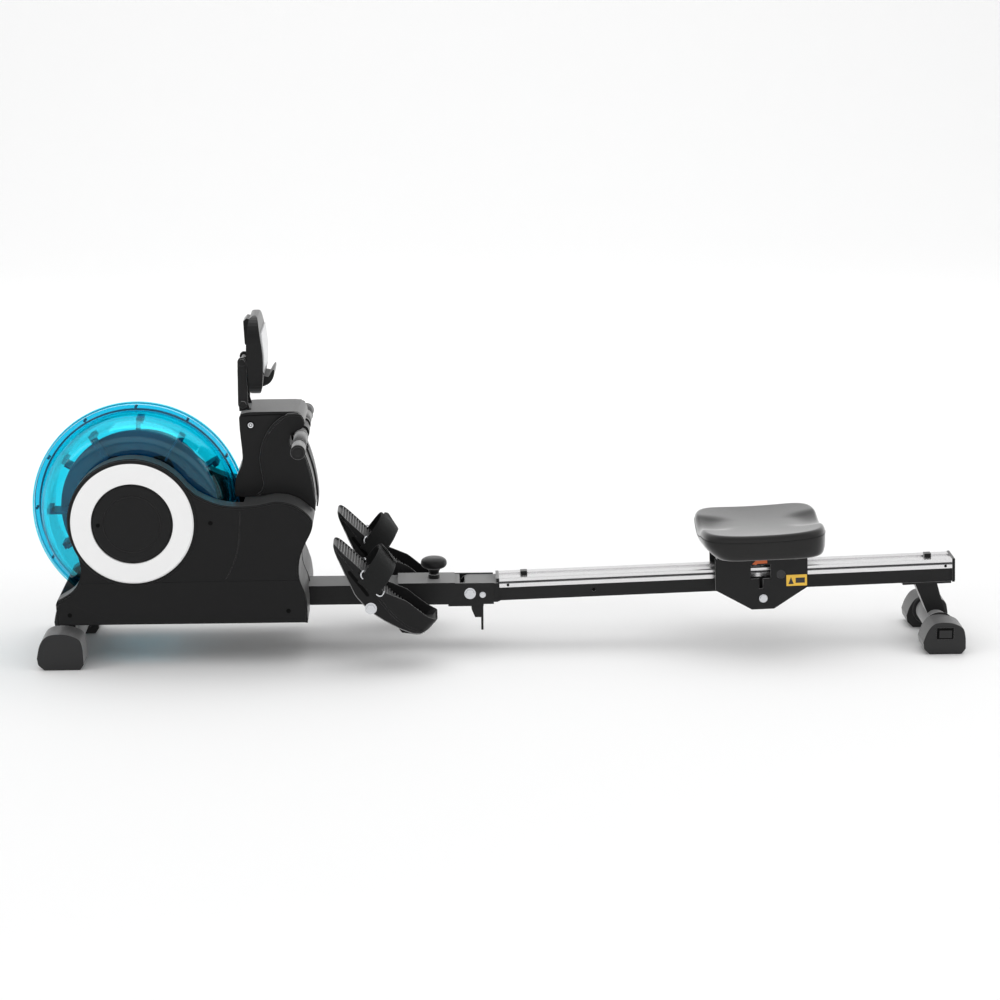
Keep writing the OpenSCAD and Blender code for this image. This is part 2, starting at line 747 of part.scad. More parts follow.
// a rounded frame seen along the row, inset d
function frame_pts(d) = let (w = console_hw - d, r = 56 - d, a = 540 + d, b = 700 - d) concat(
    arc([w - r, b - r], r, 0, 90, 10), arc([-w + r, b - r], r, 90, 180, 10),
    arc([-w + r, a + r], r, 180, 270, 10), arc([w - r, a + r], r, 270, 360, 10));

module console_body() {
    color("#17181a") {
        difference() {
            intersection() {
                ythick(-console_hw, console_hw) polygon(console_pts);
                ylong(-520, -440) polygon(frame_pts(0));
            }
            intersection() {
                ythick(-console_hw + 11, console_hw - 11) offset(delta = -6) polygon(console_pts);
                ylong(-520, -440) polygon(frame_pts(6));
            }
            face_plate();
            ythick(-42, 42) polygon(ledge_pts);
        }
        both() difference() {
            union() {
                ythick(ear_hw - 5, ear_hw) polygon([[-arm_x + 2, arm_z1 - 9], [-499, arm_z1 - 12],
                    [-499, arm_z1 + 12], [-arm_x + 2, arm_z1 + 9]]);
                translate([-arm_x, 0, arm_z1]) ycyl(9, ear_hw - 5, ear_hw);
            }
            translate([-arm_x, 0, arm_z1]) ycyl(4 + run_c, 0, 90);
        }
        ythick(-26, 26) polygon([[-500, 632], [-509, 640], [-511, 686], [-505, 692], [-496, 690]]);
    }
}

module face_plate() {
    intersection() {
        ythick(-console_hw + 9, console_hw - 9) polygon(face_pts);
        ylong(-520, -440) polygon(frame_pts(9));
    }
}

module console_face() {
    color("#e9eaec") face_plate();
    color("#17181a") ythick(-42, 42) polygon(ledge_pts);
}

// ---- pedals ----
module pedal_axle() {
    color("#b9bdc1") translate([-pedal_x, 0, pedal_z]) {
        ycyl(pedal_r, -pedal_y - pedal_w / 2 - 2, pedal_y + pedal_w / 2 + 2);
        both() {
            ycyl(11, beam_w / 2, pedal_y - pedal_w / 2 - gap);
            ycyl(12, pedal_y + pedal_w / 2 + 0.4, pedal_y + pedal_w / 2 + 2);
            translate([0, pedal_y + pedal_w / 2 + 1.8, 0]) rotate([-90, 0, 0]) hexbolt(9, 6);
        }
    }
}

pedal_pts = concat(
    [for (p = smo([[1, 0], [0, -8], [1, -30], [8, -44], [24, -55], [50, -62], [83, -67], [116, -69],
        [141, -65], [163, -60], [185, -48], [206, -37], [232, -22], [250, -12], [258, -6],
        [255, -1]], 3)) on_sole(p[0], p[1])],
    [for (p = smo([[244, -2], [215, -5], [180, -9], [150, -14], [120, -18], [95, -11], [73, -5],
        [43, -7], [20, -7], [6, -3]], 3)) on_sole(p[0], p[1])]);
pocket_pts = [for (p = [[9, 40], [9, -24], [16, -30], [60, -31], [95, -31], [120, -26],
    [150, -20], [180, -13], [220, -8.6], [247, -5.6], [266, 40]]) on_sole(p[0], p[1])];
under_pts = [for (p = [[14, -38], [60, -38], [95, -38], [120, -33], [180, -20], [232, -13],
    [236, -18], [226, -60], [150, -100], [60, -100], [10, -70]]) on_sole(p[0], p[1])];
// height of the tread along the sole
function tread(s) = s < 95 ? -31 : s < 180 ? -31 + (s - 95) * 0.21 : -13.1 + (s - 180) * 0.11;

module pedal_a() {
    w = pedal_w / 2;
    color("#16171a") translate([0, -pedal_y, 0]) difference() {
        union() {
            difference() {
                union() {
                    ythick(-w + 3, w - 3) polygon(pedal_pts);
                    both() ythick(w - 3.1, w) offset(delta = -2) polygon(pedal_pts);
                }
                ythick(-w + 6, w - 6) polygon(pocket_pts);
                ythick(-w + 6, w - 6) polygon(under_pts);
            }
            translate([-pedal_x, 0, pedal_z]) ycyl(14, -w, w);
            // ribs under the sole
            for (s = [60, 160, 200]) ythick(-w + 5, w - 5) intersection() {
                polygon(pedal_pts);
                polygon([on_sole(s, -80), on_sole(s, -24), on_sole(s + 4, -24),
                    on_sole(s + 4, -80)]);
            }
            // tread bars across the sole
            for (s = [46 : 15 : 236]) ythick(-w + 5, w - 5)
                polygon([on_sole(s, tread(s) - 3), on_sole(s, tread(s) + 2.5),
                    on_sole(s + 5, tread(s + 5) + 2.5), on_sole(s + 5, tread(s + 5) - 3)]);
            // heel pad under the pedal
            both() translate([0, 18, 0]) ythick(-8, 8) polygon([on_sole(6, -34),
                on_sole(8, -48), on_sole(14, -53), on_sole(41, -67), on_sole(50, -62),
                on_sole(40, -45)]);
        }
        translate([-pedal_x, 0, pedal_z]) ycyl(pedal_r + run_c, -w - 1, w + 1);
    }
}

module pedal_b() {
    mirror([0, 1, 0]) pedal_a();
}

// outline across a strap: straight legs and a flat arch
function band(w, top) = concat([[-w, -34]], [for (i = [0 : 14])
    [-w * cos(180 * i / 14), 4 + (top - 4) * pow(sin(180 * i / 14), 0.7)]], [[w, -34]]);

module foot_strap_a() {
    w = pedal_w / 2 + 0.05;
    t = 3.5;
    // band in the pedal's own frame: Y across, n outwards, s along
    color("#222326") multmatrix([[0, un[0], us[0], heel_o[0]], [-1, 0, 0, -pedal_y],
        [0, un[1], us[1], heel_o[1]], [0, 0, 0, 1]]) difference() {
        translate([0, 0, strap_s]) linear_extrude(foot_strap_w)
            polygon(band(w + t, foot_strap_h));
        translate([0, 0, strap_s - 1]) linear_extrude(foot_strap_w + 2)
            polygon(band(w, foot_strap_h - t));
        translate([0, -35, strap_s - 6]) cube([2 * w + 2 * t + 9, 0.5, 1], center = true);
    }
}

module foot_strap_b() {
    mirror([0, 1, 0]) foot_strap_a();
}

// ---- rail ----
module rail_tongue() {
    color("#1d1e20") {
        difference() {
            union() {
                box(-hinge_x, -1, -tongue_hw, tongue_hw, hinge_z - tongue_r, hinge_z + tongue_r);
                translate([-hinge_x, 0, hinge_z]) ycyl(tongue_r, -tongue_hw, tongue_hw);
            }
            difference() {
                box(-hinge_x - tongue_r - 1, -4, -tongue_hw + 3, tongue_hw - 3,
                    hinge_z - tongue_r + 3, hinge_z + tongue_r - 3);
                translate([-hinge_x, 0, hinge_z]) ycyl(13, -tongue_hw, tongue_hw);
            }
            translate([-hinge_x, 0, hinge_z]) ycyl(hinge_r, -tongue_hw - 1, tongue_hw + 1);
        }
        on_rail() box(-6, 0.3, -track_w / 2 - 1, track_w / 2 + 1, -rail_h - 0.5, 0);
    }
}

module rail_tube() {
    color("#1a1b1d") on_rail() difference() {
        box(0.3, rail_l - 6, -rtube_w / 2, rtube_w / 2, -rail_h, -track_h);
        box(-1, rail_l, -rtube_w / 2 + tube_t, rtube_w / 2 - tube_t, -rail_h + tube_t,
            -track_h - tube_t);
        for (x = [195]) translate([x, 0, -track_h - rtube_h / 2]) ycyl(4, -60, 0);
    }
}

module rail_track() {
    color("#c3c7cb") on_rail() difference() {
        ylong(0.3, rail_l - 6) polygon([[-track_w / 2, -track_h], [-track_w / 2, -12],
            [-track_w / 2 + 1.5, -11], [-track_w / 2 + 1.5, -8], [-track_w / 2, -7],
            [-track_w / 2, -1.5], [-track_w / 2 + 1.5, 0], [-10, 0], [-10, -3], [10, -3],
            [10, 0], [track_w / 2 - 1.5, 0], [track_w / 2, -1.5], [track_w / 2, -7],
            [track_w / 2 - 1.5, -8], [track_w / 2 - 1.5, -11], [track_w / 2, -12],
            [track_w / 2, -track_h]]);
        box(-1, rail_l, -track_w / 2 + 4, track_w / 2 - 4, -track_h - 1, -7);
        for (x = [18, rail_l - 20]) translate([x, 0, -15]) ycyl(3, -60, 60);
    }
}

// a flat Y,Z shape made long between two X values
module ylong(x0, x1) {
    translate([x0, 0, 0]) rotate([90, 0, 90]) linear_extrude(x1 - x0) children();
}

module rail_end_cap() {
    color("#121214") on_rail() {
        box(rail_l - 6, rail_l - 1, -track_w / 2 - 1, track_w / 2 + 1, -rail_h - 1, 1);
        box(rail_l - 1.1, rail_l, -track_w / 2 + 1, track_w / 2 - 1, -rail_h + 1, -1);
        box(rail_l - 20, rail_l - 5, -rtube_w / 2 + tube_t + 0.2, rtube_w / 2 - tube_t - 0.2,
            -rail_h + tube_t + 0.2, -track_h - tube_t - 0.2);
        for (x = [45, rail_l - 60]) translate([x, 0, 0]) box(0, 14, -8, 8, -2.9, 7);
    }
}

post_top = rail_z - rail_h + (rear_x - 43) * tan(rail_a) - 5;
module rear_post() {
    color("#1b1c1e") {
        difference() {
            translate([rear_x, 0, 0]) ythick(-24, 24) polygon([[-45, post_top + 1],
                [1, post_top + 1], [21, foot_z + 12], [-15, foot_z + 12]]);
            translate([rear_x, 0, 0]) ythick(-22, 22) polygon([[-42.5, post_top + 2],
                [-1.5, post_top + 2], [18.5, foot_z + 11], [-12.5, foot_z + 11]]);
            translate([rear_x, 0, foot_z]) ycyl(foot_tube_r, -60, 60);
        }
        on_rail() box(rail_l - 109, rail_l - 8, -30, 30, -rail_h - 4, -rail_h);
    }
}

module rear_tube() {
    color("#1b1c1e") translate([rear_x, 0, foot_z]) difference() {
        ycyl(foot_tube_r, -rear_hw + 8, rear_hw - 8);
        ycyl(foot_tube_r - tube_t, -rear_hw, rear_hw);
    }
}

module rear_caps() {
    color("#151516") both() translate([rear_x, 0, 0]) difference() {
        union() {
            ythick(rear_hw - rear_cap_l, rear_hw - 3) cap_shape(88, 68, 0);
            ythick(rear_hw - 3.1, rear_hw) offset(delta = -2.5) cap_shape(88, 68, 0);
        }
        translate([0, 0, foot_z]) ycyl(foot_tube_r, rear_hw - rear_cap_l - 1, rear_hw - 8);
        box(-17, 17, rear_hw - 5, rear_hw + 1, foot_z - 7, foot_z + 17);
        translate([0, 0, foot_z + 5]) ycyl(2 + run_c, rear_hw - 7, rear_hw);
    }
}

module level_wheel_a() {
    color("#0f0f10") translate([rear_x, 0, foot_z + 5]) difference() {
        union() {
            ycyl(9, -rear_hw + 0.5, -rear_hw + 4.6);
            ycyl(2, -rear_hw + 0.5, -rear_hw + 5.9);
        }
        for (i = [0 : 7]) rotate([0, i * 45, 0]) translate([9.5, 0, 0])
            ycyl(1.5, -rear_hw - 1, -rear_hw + 9);
    }
}

module level_wheel_b() {
    mirror([0, 1, 0]) level_wheel_a();
}

// ---- seat ----
module in_seat() {
    on_rail() translate([seat_s, 0, 0]) children();
}

module seat_cushion() {
    h = seat_z1 - seat_z0;
    l = seat_l / 2;
    color("#0e0e0f") in_seat() translate([4, 0, 0]) difference() {
        hull() {
            for (sx = [-1, 1]) for (sy = [-1, 1]) {
                translate([sx * (l - 34), sy * (seat_hw - 34), seat_z0 + 14])
                    cylinder(r = 34, h = h - 26, $fn = 32);
                translate([sx * (l - 40), sy * (seat_hw - 40), seat_z1 - 4])
                    cylinder(r = 32, h = 4, $fn = 32);
                translate([sx * (l - 50), sy * (seat_hw - 46), seat_z0])
                    cylinder(r = 34, h = 6, $fn = 32);
            }
        }
        translate([0, 0, seat_z1 + 640 - 12]) sphere(r = 640, $fn = 96);
        for (sx = [-1, 1]) translate([sx * (l + 26), 0, seat_z1 - 14])
            scale([1, 1.6, 1]) cylinder(r = 38, h = 40, $fn = 48);
    }
}

module seat_base() {
    color("#1f2023") in_seat() difference() {
        box(-92, 92, -80, 80, seat_z0 - 6, seat_z0);
        for (x = [-60, 60]) for (y = [-30, 30]) translate([x, y, 0])
            cylinder(r = 3.2, h = 60);
    }
}

plate_pts = [[-94, seat_z0 - 6], [-94, -38], [-20, -82], [26, -82], [96, -38],
    [96, seat_z0 - 6]];
module carriage_plates() {
    color("#18191b") in_seat() both() {
        difference() {
            ythick(plate_y, carriage_hw) offset(r = 4) offset(delta = -4) polygon(plate_pts);
            ythick(plate_y - 1, carriage_hw + 1) polygon([[-21, -17], [20, -17], [20, 12],
                [-21, 12]]);
            ythick(plate_y - 1, carriage_hw + 1) polygon([[-4, -38], [4, -38], [4, -16],
                [-4, -16]]);
            translate([4, 0, -rail_h - 11.1]) ycyl(5, 0, 90);
            translate([41, 0, -9]) ycyl(9, plate_y - 1, 90);
        }
        box(-90, 90, plate_y - 18, plate_y + 0.5, seat_z0 - 9, seat_z0 - 6);
    }
}

module carriage_axles() {
    color("#b6babe") in_seat() {
        for (x = [-roller_span / 2, roller_span / 2]) translate([x, 0, roller_r + 0.1]) {
            ycyl(5, -plate_y, plate_y);
            both() ycyl(8, plate_y - 18, plate_y);
        }
        translate([4, 0, -rail_h - 11.1]) {
            ycyl(5, -carriage_hw - 0.5, carriage_hw + 0.5);
            both() translate([0, carriage_hw, 0]) rotate([-90, 0, 0]) hexbolt(7.5, 5);
        }
        both() translate([41, 0, -9]) {
            ycyl(5.5, plate_y - 5, carriage_hw - 1);
            ycyl(11, plate_y - 5, plate_y);
        }
    }
}

module track_roller() {
    both() yturn([[5 + run_c, 14], [roller_r - 1, 14], [roller_r, 15], [roller_r, 13 + roller_w],
        [roller_r - 1, 14 + roller_w], [5 + run_c, 14 + roller_w]]);
    yturn([[5 + run_c, -14.01], [7.5, -14.01], [7.5, 14.01], [5 + run_c, 14.01]]);
}

module roller_front() {
    color("#dadada") in_seat() translate([-roller_span / 2, 0, roller_r + 0.1]) track_roller();
}

module roller_rear() {
    color("#dadada") in_seat() translate([roller_span / 2, 0, roller_r + 0.1]) track_roller();
}

module roller_lower() {
    color("#dadada") in_seat() translate([4, 0, -rail_h - 11.1])
        yturn([[5 + run_c, -40], [10, -40], [11, -39], [11, 39], [10, 40], [5 + run_c, 40]]);
}

main_beam();
side_rails();
beam_sleeve();
hinge_bracket();
hinge_bolts();
fold_knob();
front_tube();
front_caps();
tank_shell_a();
tank_shell_b();
tank_gasket();
case_screws();
cover_a();
cover_b();
trim_rings();
hub_caps();
tower_core();
tower_wings();
tower_spine();
bearing_posts();
jack_axle();
impeller_shaft();
impeller();
large_pulley();
drive_belt();
strap_spool();
guide_roller();
handle_bar();
handle_grips();
strap_clamp();
pull_strap();
console_arm();
console_mount();
console_body();
console_face();
pedal_axle();
pedal_a();
pedal_b();
foot_strap_a();
foot_strap_b();
rail_tongue();
rail_tube();
rail_track();
rail_end_cap();
rear_post();
rear_tube();
rear_caps();
level_wheel_a();
level_wheel_b();
seat_cushion();
seat_base();
carriage_plates();
carriage_axles();
roller_front();
roller_rear();
roller_lower();
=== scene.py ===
import math
import bpy
import bmesh
from mathutils import Matrix, Vector


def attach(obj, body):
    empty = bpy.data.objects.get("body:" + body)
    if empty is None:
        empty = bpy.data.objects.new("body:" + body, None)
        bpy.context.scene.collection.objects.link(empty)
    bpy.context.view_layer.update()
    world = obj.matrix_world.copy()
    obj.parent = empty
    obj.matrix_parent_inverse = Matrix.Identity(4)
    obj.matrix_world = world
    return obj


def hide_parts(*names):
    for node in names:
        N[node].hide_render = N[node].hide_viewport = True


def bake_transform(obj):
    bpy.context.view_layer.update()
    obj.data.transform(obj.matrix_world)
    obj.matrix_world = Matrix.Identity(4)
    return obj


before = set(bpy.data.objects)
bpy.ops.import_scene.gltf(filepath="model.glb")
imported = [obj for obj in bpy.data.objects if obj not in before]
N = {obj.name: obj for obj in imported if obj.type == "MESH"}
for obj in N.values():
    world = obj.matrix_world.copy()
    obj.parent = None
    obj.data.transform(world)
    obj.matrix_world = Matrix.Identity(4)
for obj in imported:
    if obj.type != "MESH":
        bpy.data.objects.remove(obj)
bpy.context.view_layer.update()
MM = 0.001

# ---------------------------------------------------------------- materials


def sock(node, key, value):
    if key in node.inputs:
        node.inputs[key].default_value = value


def mat(name, base, rough=0.5, metal=0.0, grain=None, vary=0.0, spec=0.5, coat=0.0, coat_r=0.1,
        sheen=0.0, brushed=None):
    """A procedural finish. grain = (scale, strength) is a fine bump; vary mottles the roughness."""
    m = bpy.data.materials.new(name)
    m.use_nodes = True
    nt = m.node_tree
    p = nt.nodes["Principled BSDF"]
    sock(p, "Base Color", (*base, 1))
    sock(p, "Roughness", rough)
    sock(p, "Metallic", metal)
    sock(p, "Specular IOR Level", spec)
    sock(p, "Coat Weight", coat)
    sock(p, "Coat Roughness", coat_r)
    if sheen:
        sock(p, "Sheen Weight", sheen)
        sock(p, "Sheen Roughness", 0.4)
    tc = nt.nodes.new("ShaderNodeTexCoord")
    if grain:
        n = nt.nodes.new("ShaderNodeTexNoise")
        n.inputs["Scale"].default_value = grain[0]
        n.inputs["Detail"].default_value = 3
        b = nt.nodes.new("ShaderNodeBump")
        b.inputs["Strength"].default_value = grain[1]
        b.inputs["Distance"].default_value = 0.0004
        nt.links.new(tc.outputs["Object"], n.inputs["Vector"])
        nt.links.new(n.outputs["Fac"], b.inputs["Height"])
        nt.links.new(b.outputs["Normal"], p.inputs["Normal"])
    if brushed:
        mp = nt.nodes.new("ShaderNodeMapping")
        mp.inputs["Scale"].default_value = brushed
        n = nt.nodes.new("ShaderNodeTexNoise")
        n.inputs["Scale"].default_value = 40
        n.inputs["Detail"].default_value = 4
        b = nt.nodes.new("ShaderNodeBump")
        b.inputs["Strength"].default_value = 0.05
        b.inputs["Distance"].default_value = 0.0003
        nt.links.new(tc.outputs["Object"], mp.inputs["Vector"])
        nt.links.new(mp.outputs["Vector"], n.inputs["Vector"])
        nt.links.new(n.outputs["Fac"], b.inputs["Height"])
        nt.links.new(b.outputs["Normal"], p.inputs["Normal"])
    if vary:
        n = nt.nodes.new("ShaderNodeTexNoise")
        n.inputs["Scale"].default_value = 14
        n.inputs["Detail"].default_value = 5
        r = nt.nodes.new("ShaderNodeMapRange")
        r.inputs["To Min"].default_value = max(0.02, rough - vary)
        r.inputs["To Max"].default_value = min(1.0, rough + vary)
        nt.links.new(tc.outputs["Object"], n.inputs["Vector"])
        nt.links.new(n.outputs["Fac"], r.inputs["Value"])
        nt.links.new(r.outputs["Result"], p.inputs["Roughness"])
    return m


def clear(name, tint, gloss=0.03, rough=0.03):
    """A clear tinted moulding: light passes straight through and takes the tint at each face."""
    m = bpy.data.materials.new(name)
    m.use_nodes = True
    nt = m.node_tree
    nt.nodes.remove(nt.nodes["Principled BSDF"])
    out = nt.nodes["Material Output"]
    t = nt.nodes.new("ShaderNodeBsdfTransparent")
    t.inputs["Color"].default_value = (*tint, 1)
    g = nt.nodes.new("ShaderNodeBsdfGlossy")
    g.inputs["Color"].default_value = (0.75, 0.95, 1.0, 1)
    g.inputs["Roughness"].default_value = rough
    f = nt.nodes.new("ShaderNodeLayerWeight")
    f.inputs["Blend"].default_value = 0.25
    r = nt.nodes.new("ShaderNodeMapRange")
    r.inputs["To Min"].default_value = gloss
    r.inputs["To Max"].default_value = 0.4
    mix = nt.nodes.new("ShaderNodeMixShader")
    nt.links.new(f.outputs["Fresnel"], r.inputs["Value"])
    nt.links.new(r.outputs["Result"], mix.inputs[0])
    nt.links.new(t.outputs[0], mix.inputs[1])
    nt.links.new(g.outputs[0], mix.inputs[2])
    nt.links.new(mix.outputs[0], out.inputs["Surface"])
    return m


def weave(name, base, pitch=0.0016):
    """Webbing: fine ribs along the piece's own UV, with a soft twill."""
    m = mat(name, base, 0.8, sheen=0.12, spec=0.2)
    nt = m.node_tree
    p = nt.nodes["Principled BSDF"]
    uv = nt.nodes.new("ShaderNodeUVMap")
    uv.uv_map = "UVMap"
    hs = []
    for axis, k in (("X", 0.16), ("Y", 0.32)):
        w = nt.nodes.new("ShaderNodeTexWave")
        w.bands_direction = axis
        w.inputs["Scale"].default_value = k / pitch
        w.inputs["Distortion"].default_value = 0.4
        nt.links.new(uv.outputs["UV"], w.inputs["Vector"])
        hs.append(w)
    a = nt.nodes.new("ShaderNodeMath")
    a.operation = "MAXIMUM"
    nt.links.new(hs[0].outputs["Fac"], a.inputs[0])
    nt.links.new(hs[1].outputs["Fac"], a.inputs[1])
    b = nt.nodes.new("ShaderNodeBump")
    b.inputs["Strength"].default_value = 0.45
    b.inputs["Distance"].default_value = 0.0005
    nt.links.new(a.outputs[0], b.inputs["Height"])
    nt.links.new(b.outputs["Normal"], p.inputs["Normal"])
    return m


M = {
    "plastic": mat("plastic_black", (0.003, 0.003, 0.0033), 0.42, grain=(900, 0.16), vary=0.04,
                   spec=0.2, sheen=0.5),
    "cover": mat("cover_black", (0.003, 0.003, 0.0033), 0.38, grain=(900, 0.16), vary=0.04,
                 spec=0.2, sheen=0.14),
    "plastic_soft": mat("plastic_tower", (0.003, 0.003, 0.0033), 0.4, grain=(900, 0.12),
                        vary=0.04, spec=0.2, sheen=0.5),
    "plastic_grey": mat("plastic_grey", (0.03, 0.03, 0.032), 0.4, grain=(800, 0.2), spec=0.35),
    "steel": mat("steel_black", (0.003, 0.003, 0.0033), 0.42, spec=0.24, vary=0.05,
                 grain=(420, 0.05), sheen=1.0),
    "rubber": mat("rubber_black", (0.012, 0.012, 0.0125), 0.5, grain=(700, 0.25), spec=0.35,
                  sheen=0.5),
    "foam": mat("foam_grip", (0.004, 0.004, 0.004), 0.5, grain=(1500, 0.4), spec=0.25,
                sheen=0.7),
    "zinc": mat("zinc", (0.62, 0.63, 0.65), 0.24, 1.0, vary=0.08),
    "track": mat("track_silver", (0.74, 0.735, 0.74), 0.26, 1.0, brushed=(0.02, 1, 1)),
    "white": mat("white_ring", (0.86, 0.86, 0.86), 0.35, coat=0.2),
    "screen": mat("console_light", (0.62, 0.63, 0.64), 0.3, coat=0.3),
    "cushion": mat("cushion_black", (0.0036, 0.0033, 0.0032), 0.42, grain=(1300, 0.25), vary=0.04,
                   spec=0.28, sheen=0.95),
    "nylon": mat("nylon", (0.72, 0.72, 0.7), 0.4),
    "belt": mat("belt_rubber", (0.008, 0.008, 0.008), 0.7, spec=0.2),
    "web": weave("webbing_black", (0.010, 0.0105, 0.0105)),
    "clear": clear("tank_clear", (0.20, 0.89, 0.96)),
    "inner": mat("impeller_blue", (0.004, 0.065, 0.15), 0.4, spec=0.3),
    # dark blue for the joint cord and the tank rivets, and painted shade on the cover screw heads in
    # their holes
    "mark": mat("dark_blue_and_painted_shade", (0.0, 0.07, 0.15), 0.4, spec=0.3),
    "tank_line": clear("tank_line", (0.8, 0.98, 1.0), 0.5, 0.1),
    "yellow": mat("label_yellow", (0.86, 0.52, 0.05), 0.4),
    "orange": mat("label_orange", (0.60, 0.11, 0.015), 0.4),
    # near-black for the seams, and painted shade for holes, slots, grooves and creases
    "dark": mat("seams_and_painted_shade", (0.0015, 0.0015, 0.0015), 0.8, spec=0.1),
    # the pedal's black made lighter for the tread ribs: painted highlight
    "tread": mat("tread_painted_highlight", (0.03, 0.03, 0.031), 0.36, spec=0.5, sheen=0.3),
}

# ---------------------------------------------------------------- mesh helpers
RAIL = math.radians(1.85)
RX, RZ = 1.0, 145.5
SEAT = 538.0
PAD = SEAT + 4
SOLE = math.radians(37.5)
US = (-math.cos(SOLE), math.sin(SOLE))
UN = (math.sin(SOLE), math.cos(SOLE))


def on_rail(s, y, h):
    """Along, across and above the track's top, to row millimetres."""
    return Vector((RX + s * math.cos(RAIL) - h * math.sin(RAIL), y,
                   RZ + s * math.sin(RAIL) + h * math.cos(RAIL)))


def on_sole(s, n):
    """Heel to toe and out of the sole, to row X and Z in millimetres."""
    return -126 + s * US[0] + n * UN[0], 102 + s * US[1] + n * UN[1]


def smo(p, n=6, closed=False):
    """Catmull-Rom curve through points of any dimension."""
    p = [Vector(q) for q in p]
    k = len(p)
    out = []
    for i in range(k if closed else k - 1):
        if closed:
            a, b, c, d = p[(i - 1) % k], p[i], p[(i + 1) % k], p[(i + 2) % k]
        else:
            a, b, c, d = p[max(i - 1, 0)], p[i], p[i + 1], p[min(i + 2, k - 1)]
        for j in range(n):
            t = j / n
            out.append(0.5 * (2 * b + (c - a) * t + (2 * a - 5 * b + 4 * c - d) * t * t
                              + (3 * b - a - 3 * c + d) * t ** 3))
    if not closed:
        out.append(p[-1])
    return out


def arc(cx, cz, r, a0, a1, k):
    return [(cx + r * math.cos(math.radians(a0 + (a1 - a0) * i / k)),
             cz + r * math.sin(math.radians(a0 + (a1 - a0) * i / k))) for i in range(k + 1)]


def lerp(table, x):
    """Value at x in a table of (x, value) rows."""
    for (xa, va), (xb, vb) in zip(table, table[1:]):
        if x <= xb:
            t = max(0.0, (x - xa) / (xb - xa))
            return va + (vb - va) * t
    return table[-1][1]


def shade(o, angle=40):
    me = o.data
    me.polygons.foreach_set("use_smooth", [True] * len(me.polygons))
    me.set_sharp_from_angle(angle=math.radians(angle))


def bevel_mod(o, width, segs=3, angle=32):
    b = o.modifiers.new("edge", "BEVEL")
    b.width = width * MM
    b.segments = segs
    b.limit_method = "ANGLE"
    b.angle_limit = math.radians(angle)
    b.harden_normals = True


def piece(name, bm, body, material, sharp=40, bevel=None, node=(), sub=0,
          solid=None):
    """Turns a bmesh in millimetres into a named piece riding on a CAD body."""
    bmesh.ops.scale(bm, vec=(MM, MM, MM), verts=bm.verts)
    bmesh.ops.recalc_face_normals(bm, faces=bm.faces)
    me = bpy.data.meshes.new(name)
    bm.to_mesh(me)
    bm.free()
    o = bpy.data.objects.new(name, me)
    bpy.context.scene.collection.objects.link(o)
    o.data.materials.append(M[material])
    shade(o, sharp)
    if solid:
        s = o.modifiers.new("solid", "SOLIDIFY")
        s.thickness = solid * MM
        s.offset = 0
    if bevel:
        bevel_mod(o, *bevel)
    if sub:
        s = o.modifiers.new("sub", "SUBSURF")
        s.levels = s.render_levels = sub
    if body:
        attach(o, body)
    if node:
        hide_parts(*([node] if isinstance(node, str) else node))
    return o


def new():
    return bmesh.new()


def prism(bm, pts, y0, y1, put=None):
    """A closed outline made thick between two Y values. put maps (a, b, y) to a point."""
    put = put or (lambda a, b, y: (a, y, b))
    vs = [bm.verts.new(put(p[0], p[1], y0)) for p in pts]
    f = bm.faces.new(vs)
    r = bmesh.ops.extrude_face_region(bm, geom=[f])
    top = [v for v in r["geom"] if isinstance(v, bmesh.types.BMVert)]
    d = Vector(put(pts[0][0], pts[0][1], y1)) - Vector(put(pts[0][0], pts[0][1], y0))
    bmesh.ops.translate(bm, vec=d, verts=top)
    return vs, top


def spin_y(bm, prof, cx, cz, seg=96, closed=False):
    """A profile of (radius, Y) points turned about the Y line through cx, cz."""
    vs = [bm.verts.new((cx + r, y, cz)) for r, y in prof]
    es = [bm.edges.new(e) for e in zip(vs, vs[1:])]
    if closed:
        es.append(bm.edges.new((vs[-1], vs[0])))
    bmesh.ops.spin(bm, geom=vs + es, cent=(cx, 0, cz), axis=(0, 1, 0),
                   angle=2 * math.pi, steps=seg, use_merge=True)
    bmesh.ops.remove_doubles(bm, verts=bm.verts, dist=0.001)


def rod(bm, a, b, r, seg=24, r2=None):
    """A capped cylinder or cone between two points."""
    a, b = Vector(a), Vector(b)
    m = Matrix.Translation((a + b) / 2) @ (b - a).to_track_quat("Z", "Y").to_matrix().to_4x4()
    bmesh.ops.create_cone(bm, cap_ends=True, segments=seg, radius1=r,
                          radius2=r if r2 is None else r2, depth=(b - a).length, matrix=m)


def loft(bm, sections, ends=True):
    """A skin over closed sections of the same count."""
    rings = []
    for s in sections:
        vs = [bm.verts.new(p) for p in s]
        es = [bm.edges.new((vs[i], vs[(i + 1) % len(vs)])) for i in range(len(vs))]
        rings.append((vs, es))
    for (_, first), (_, second) in zip(rings, rings[1:]):
        bmesh.ops.bridge_loops(bm, edges=first + second)
    if ends:
        bm.faces.new(rings[0][0])
        bm.faces.new(rings[-1][0])


def sweep(bm, path, rad, seg=12, caps=True):
    """A round tube along a path. rad is one radius or one for each point."""
    path = [Vector(p) for p in path]
    t0 = (path[1] - path[0]).normalized()
    ref = Vector((0, 0, 1)) if abs(t0.z) < 0.9 else Vector((1, 0, 0))
    u = t0.cross(ref).normalized()
    secs = []
    for i, p in enumerate(path):
        t = (path[min(i + 1, len(path) - 1)] - path[max(i - 1, 0)]).normalized()
        u = (u - t * u.dot(t)).normalized()
        v = t.cross(u)
        r = rad[i] if isinstance(rad, (list, tuple)) else rad
        secs.append([p + r * (math.cos(2 * math.pi * k / seg) * u
                              + math.sin(2 * math.pi * k / seg) * v) for k in range(seg)])
    loft(bm, secs, caps)


def cad(node, material, bevel=0.0, sharp=35, segs=2):
    """Gives a shown CAD node its finish and soft edges."""
    o = N[node]
    o.data.materials.clear()
    o.data.materials.append(M[material])
    shade(o, sharp)
    if bevel:
        bevel_mod(o, bevel, segs)
    return o


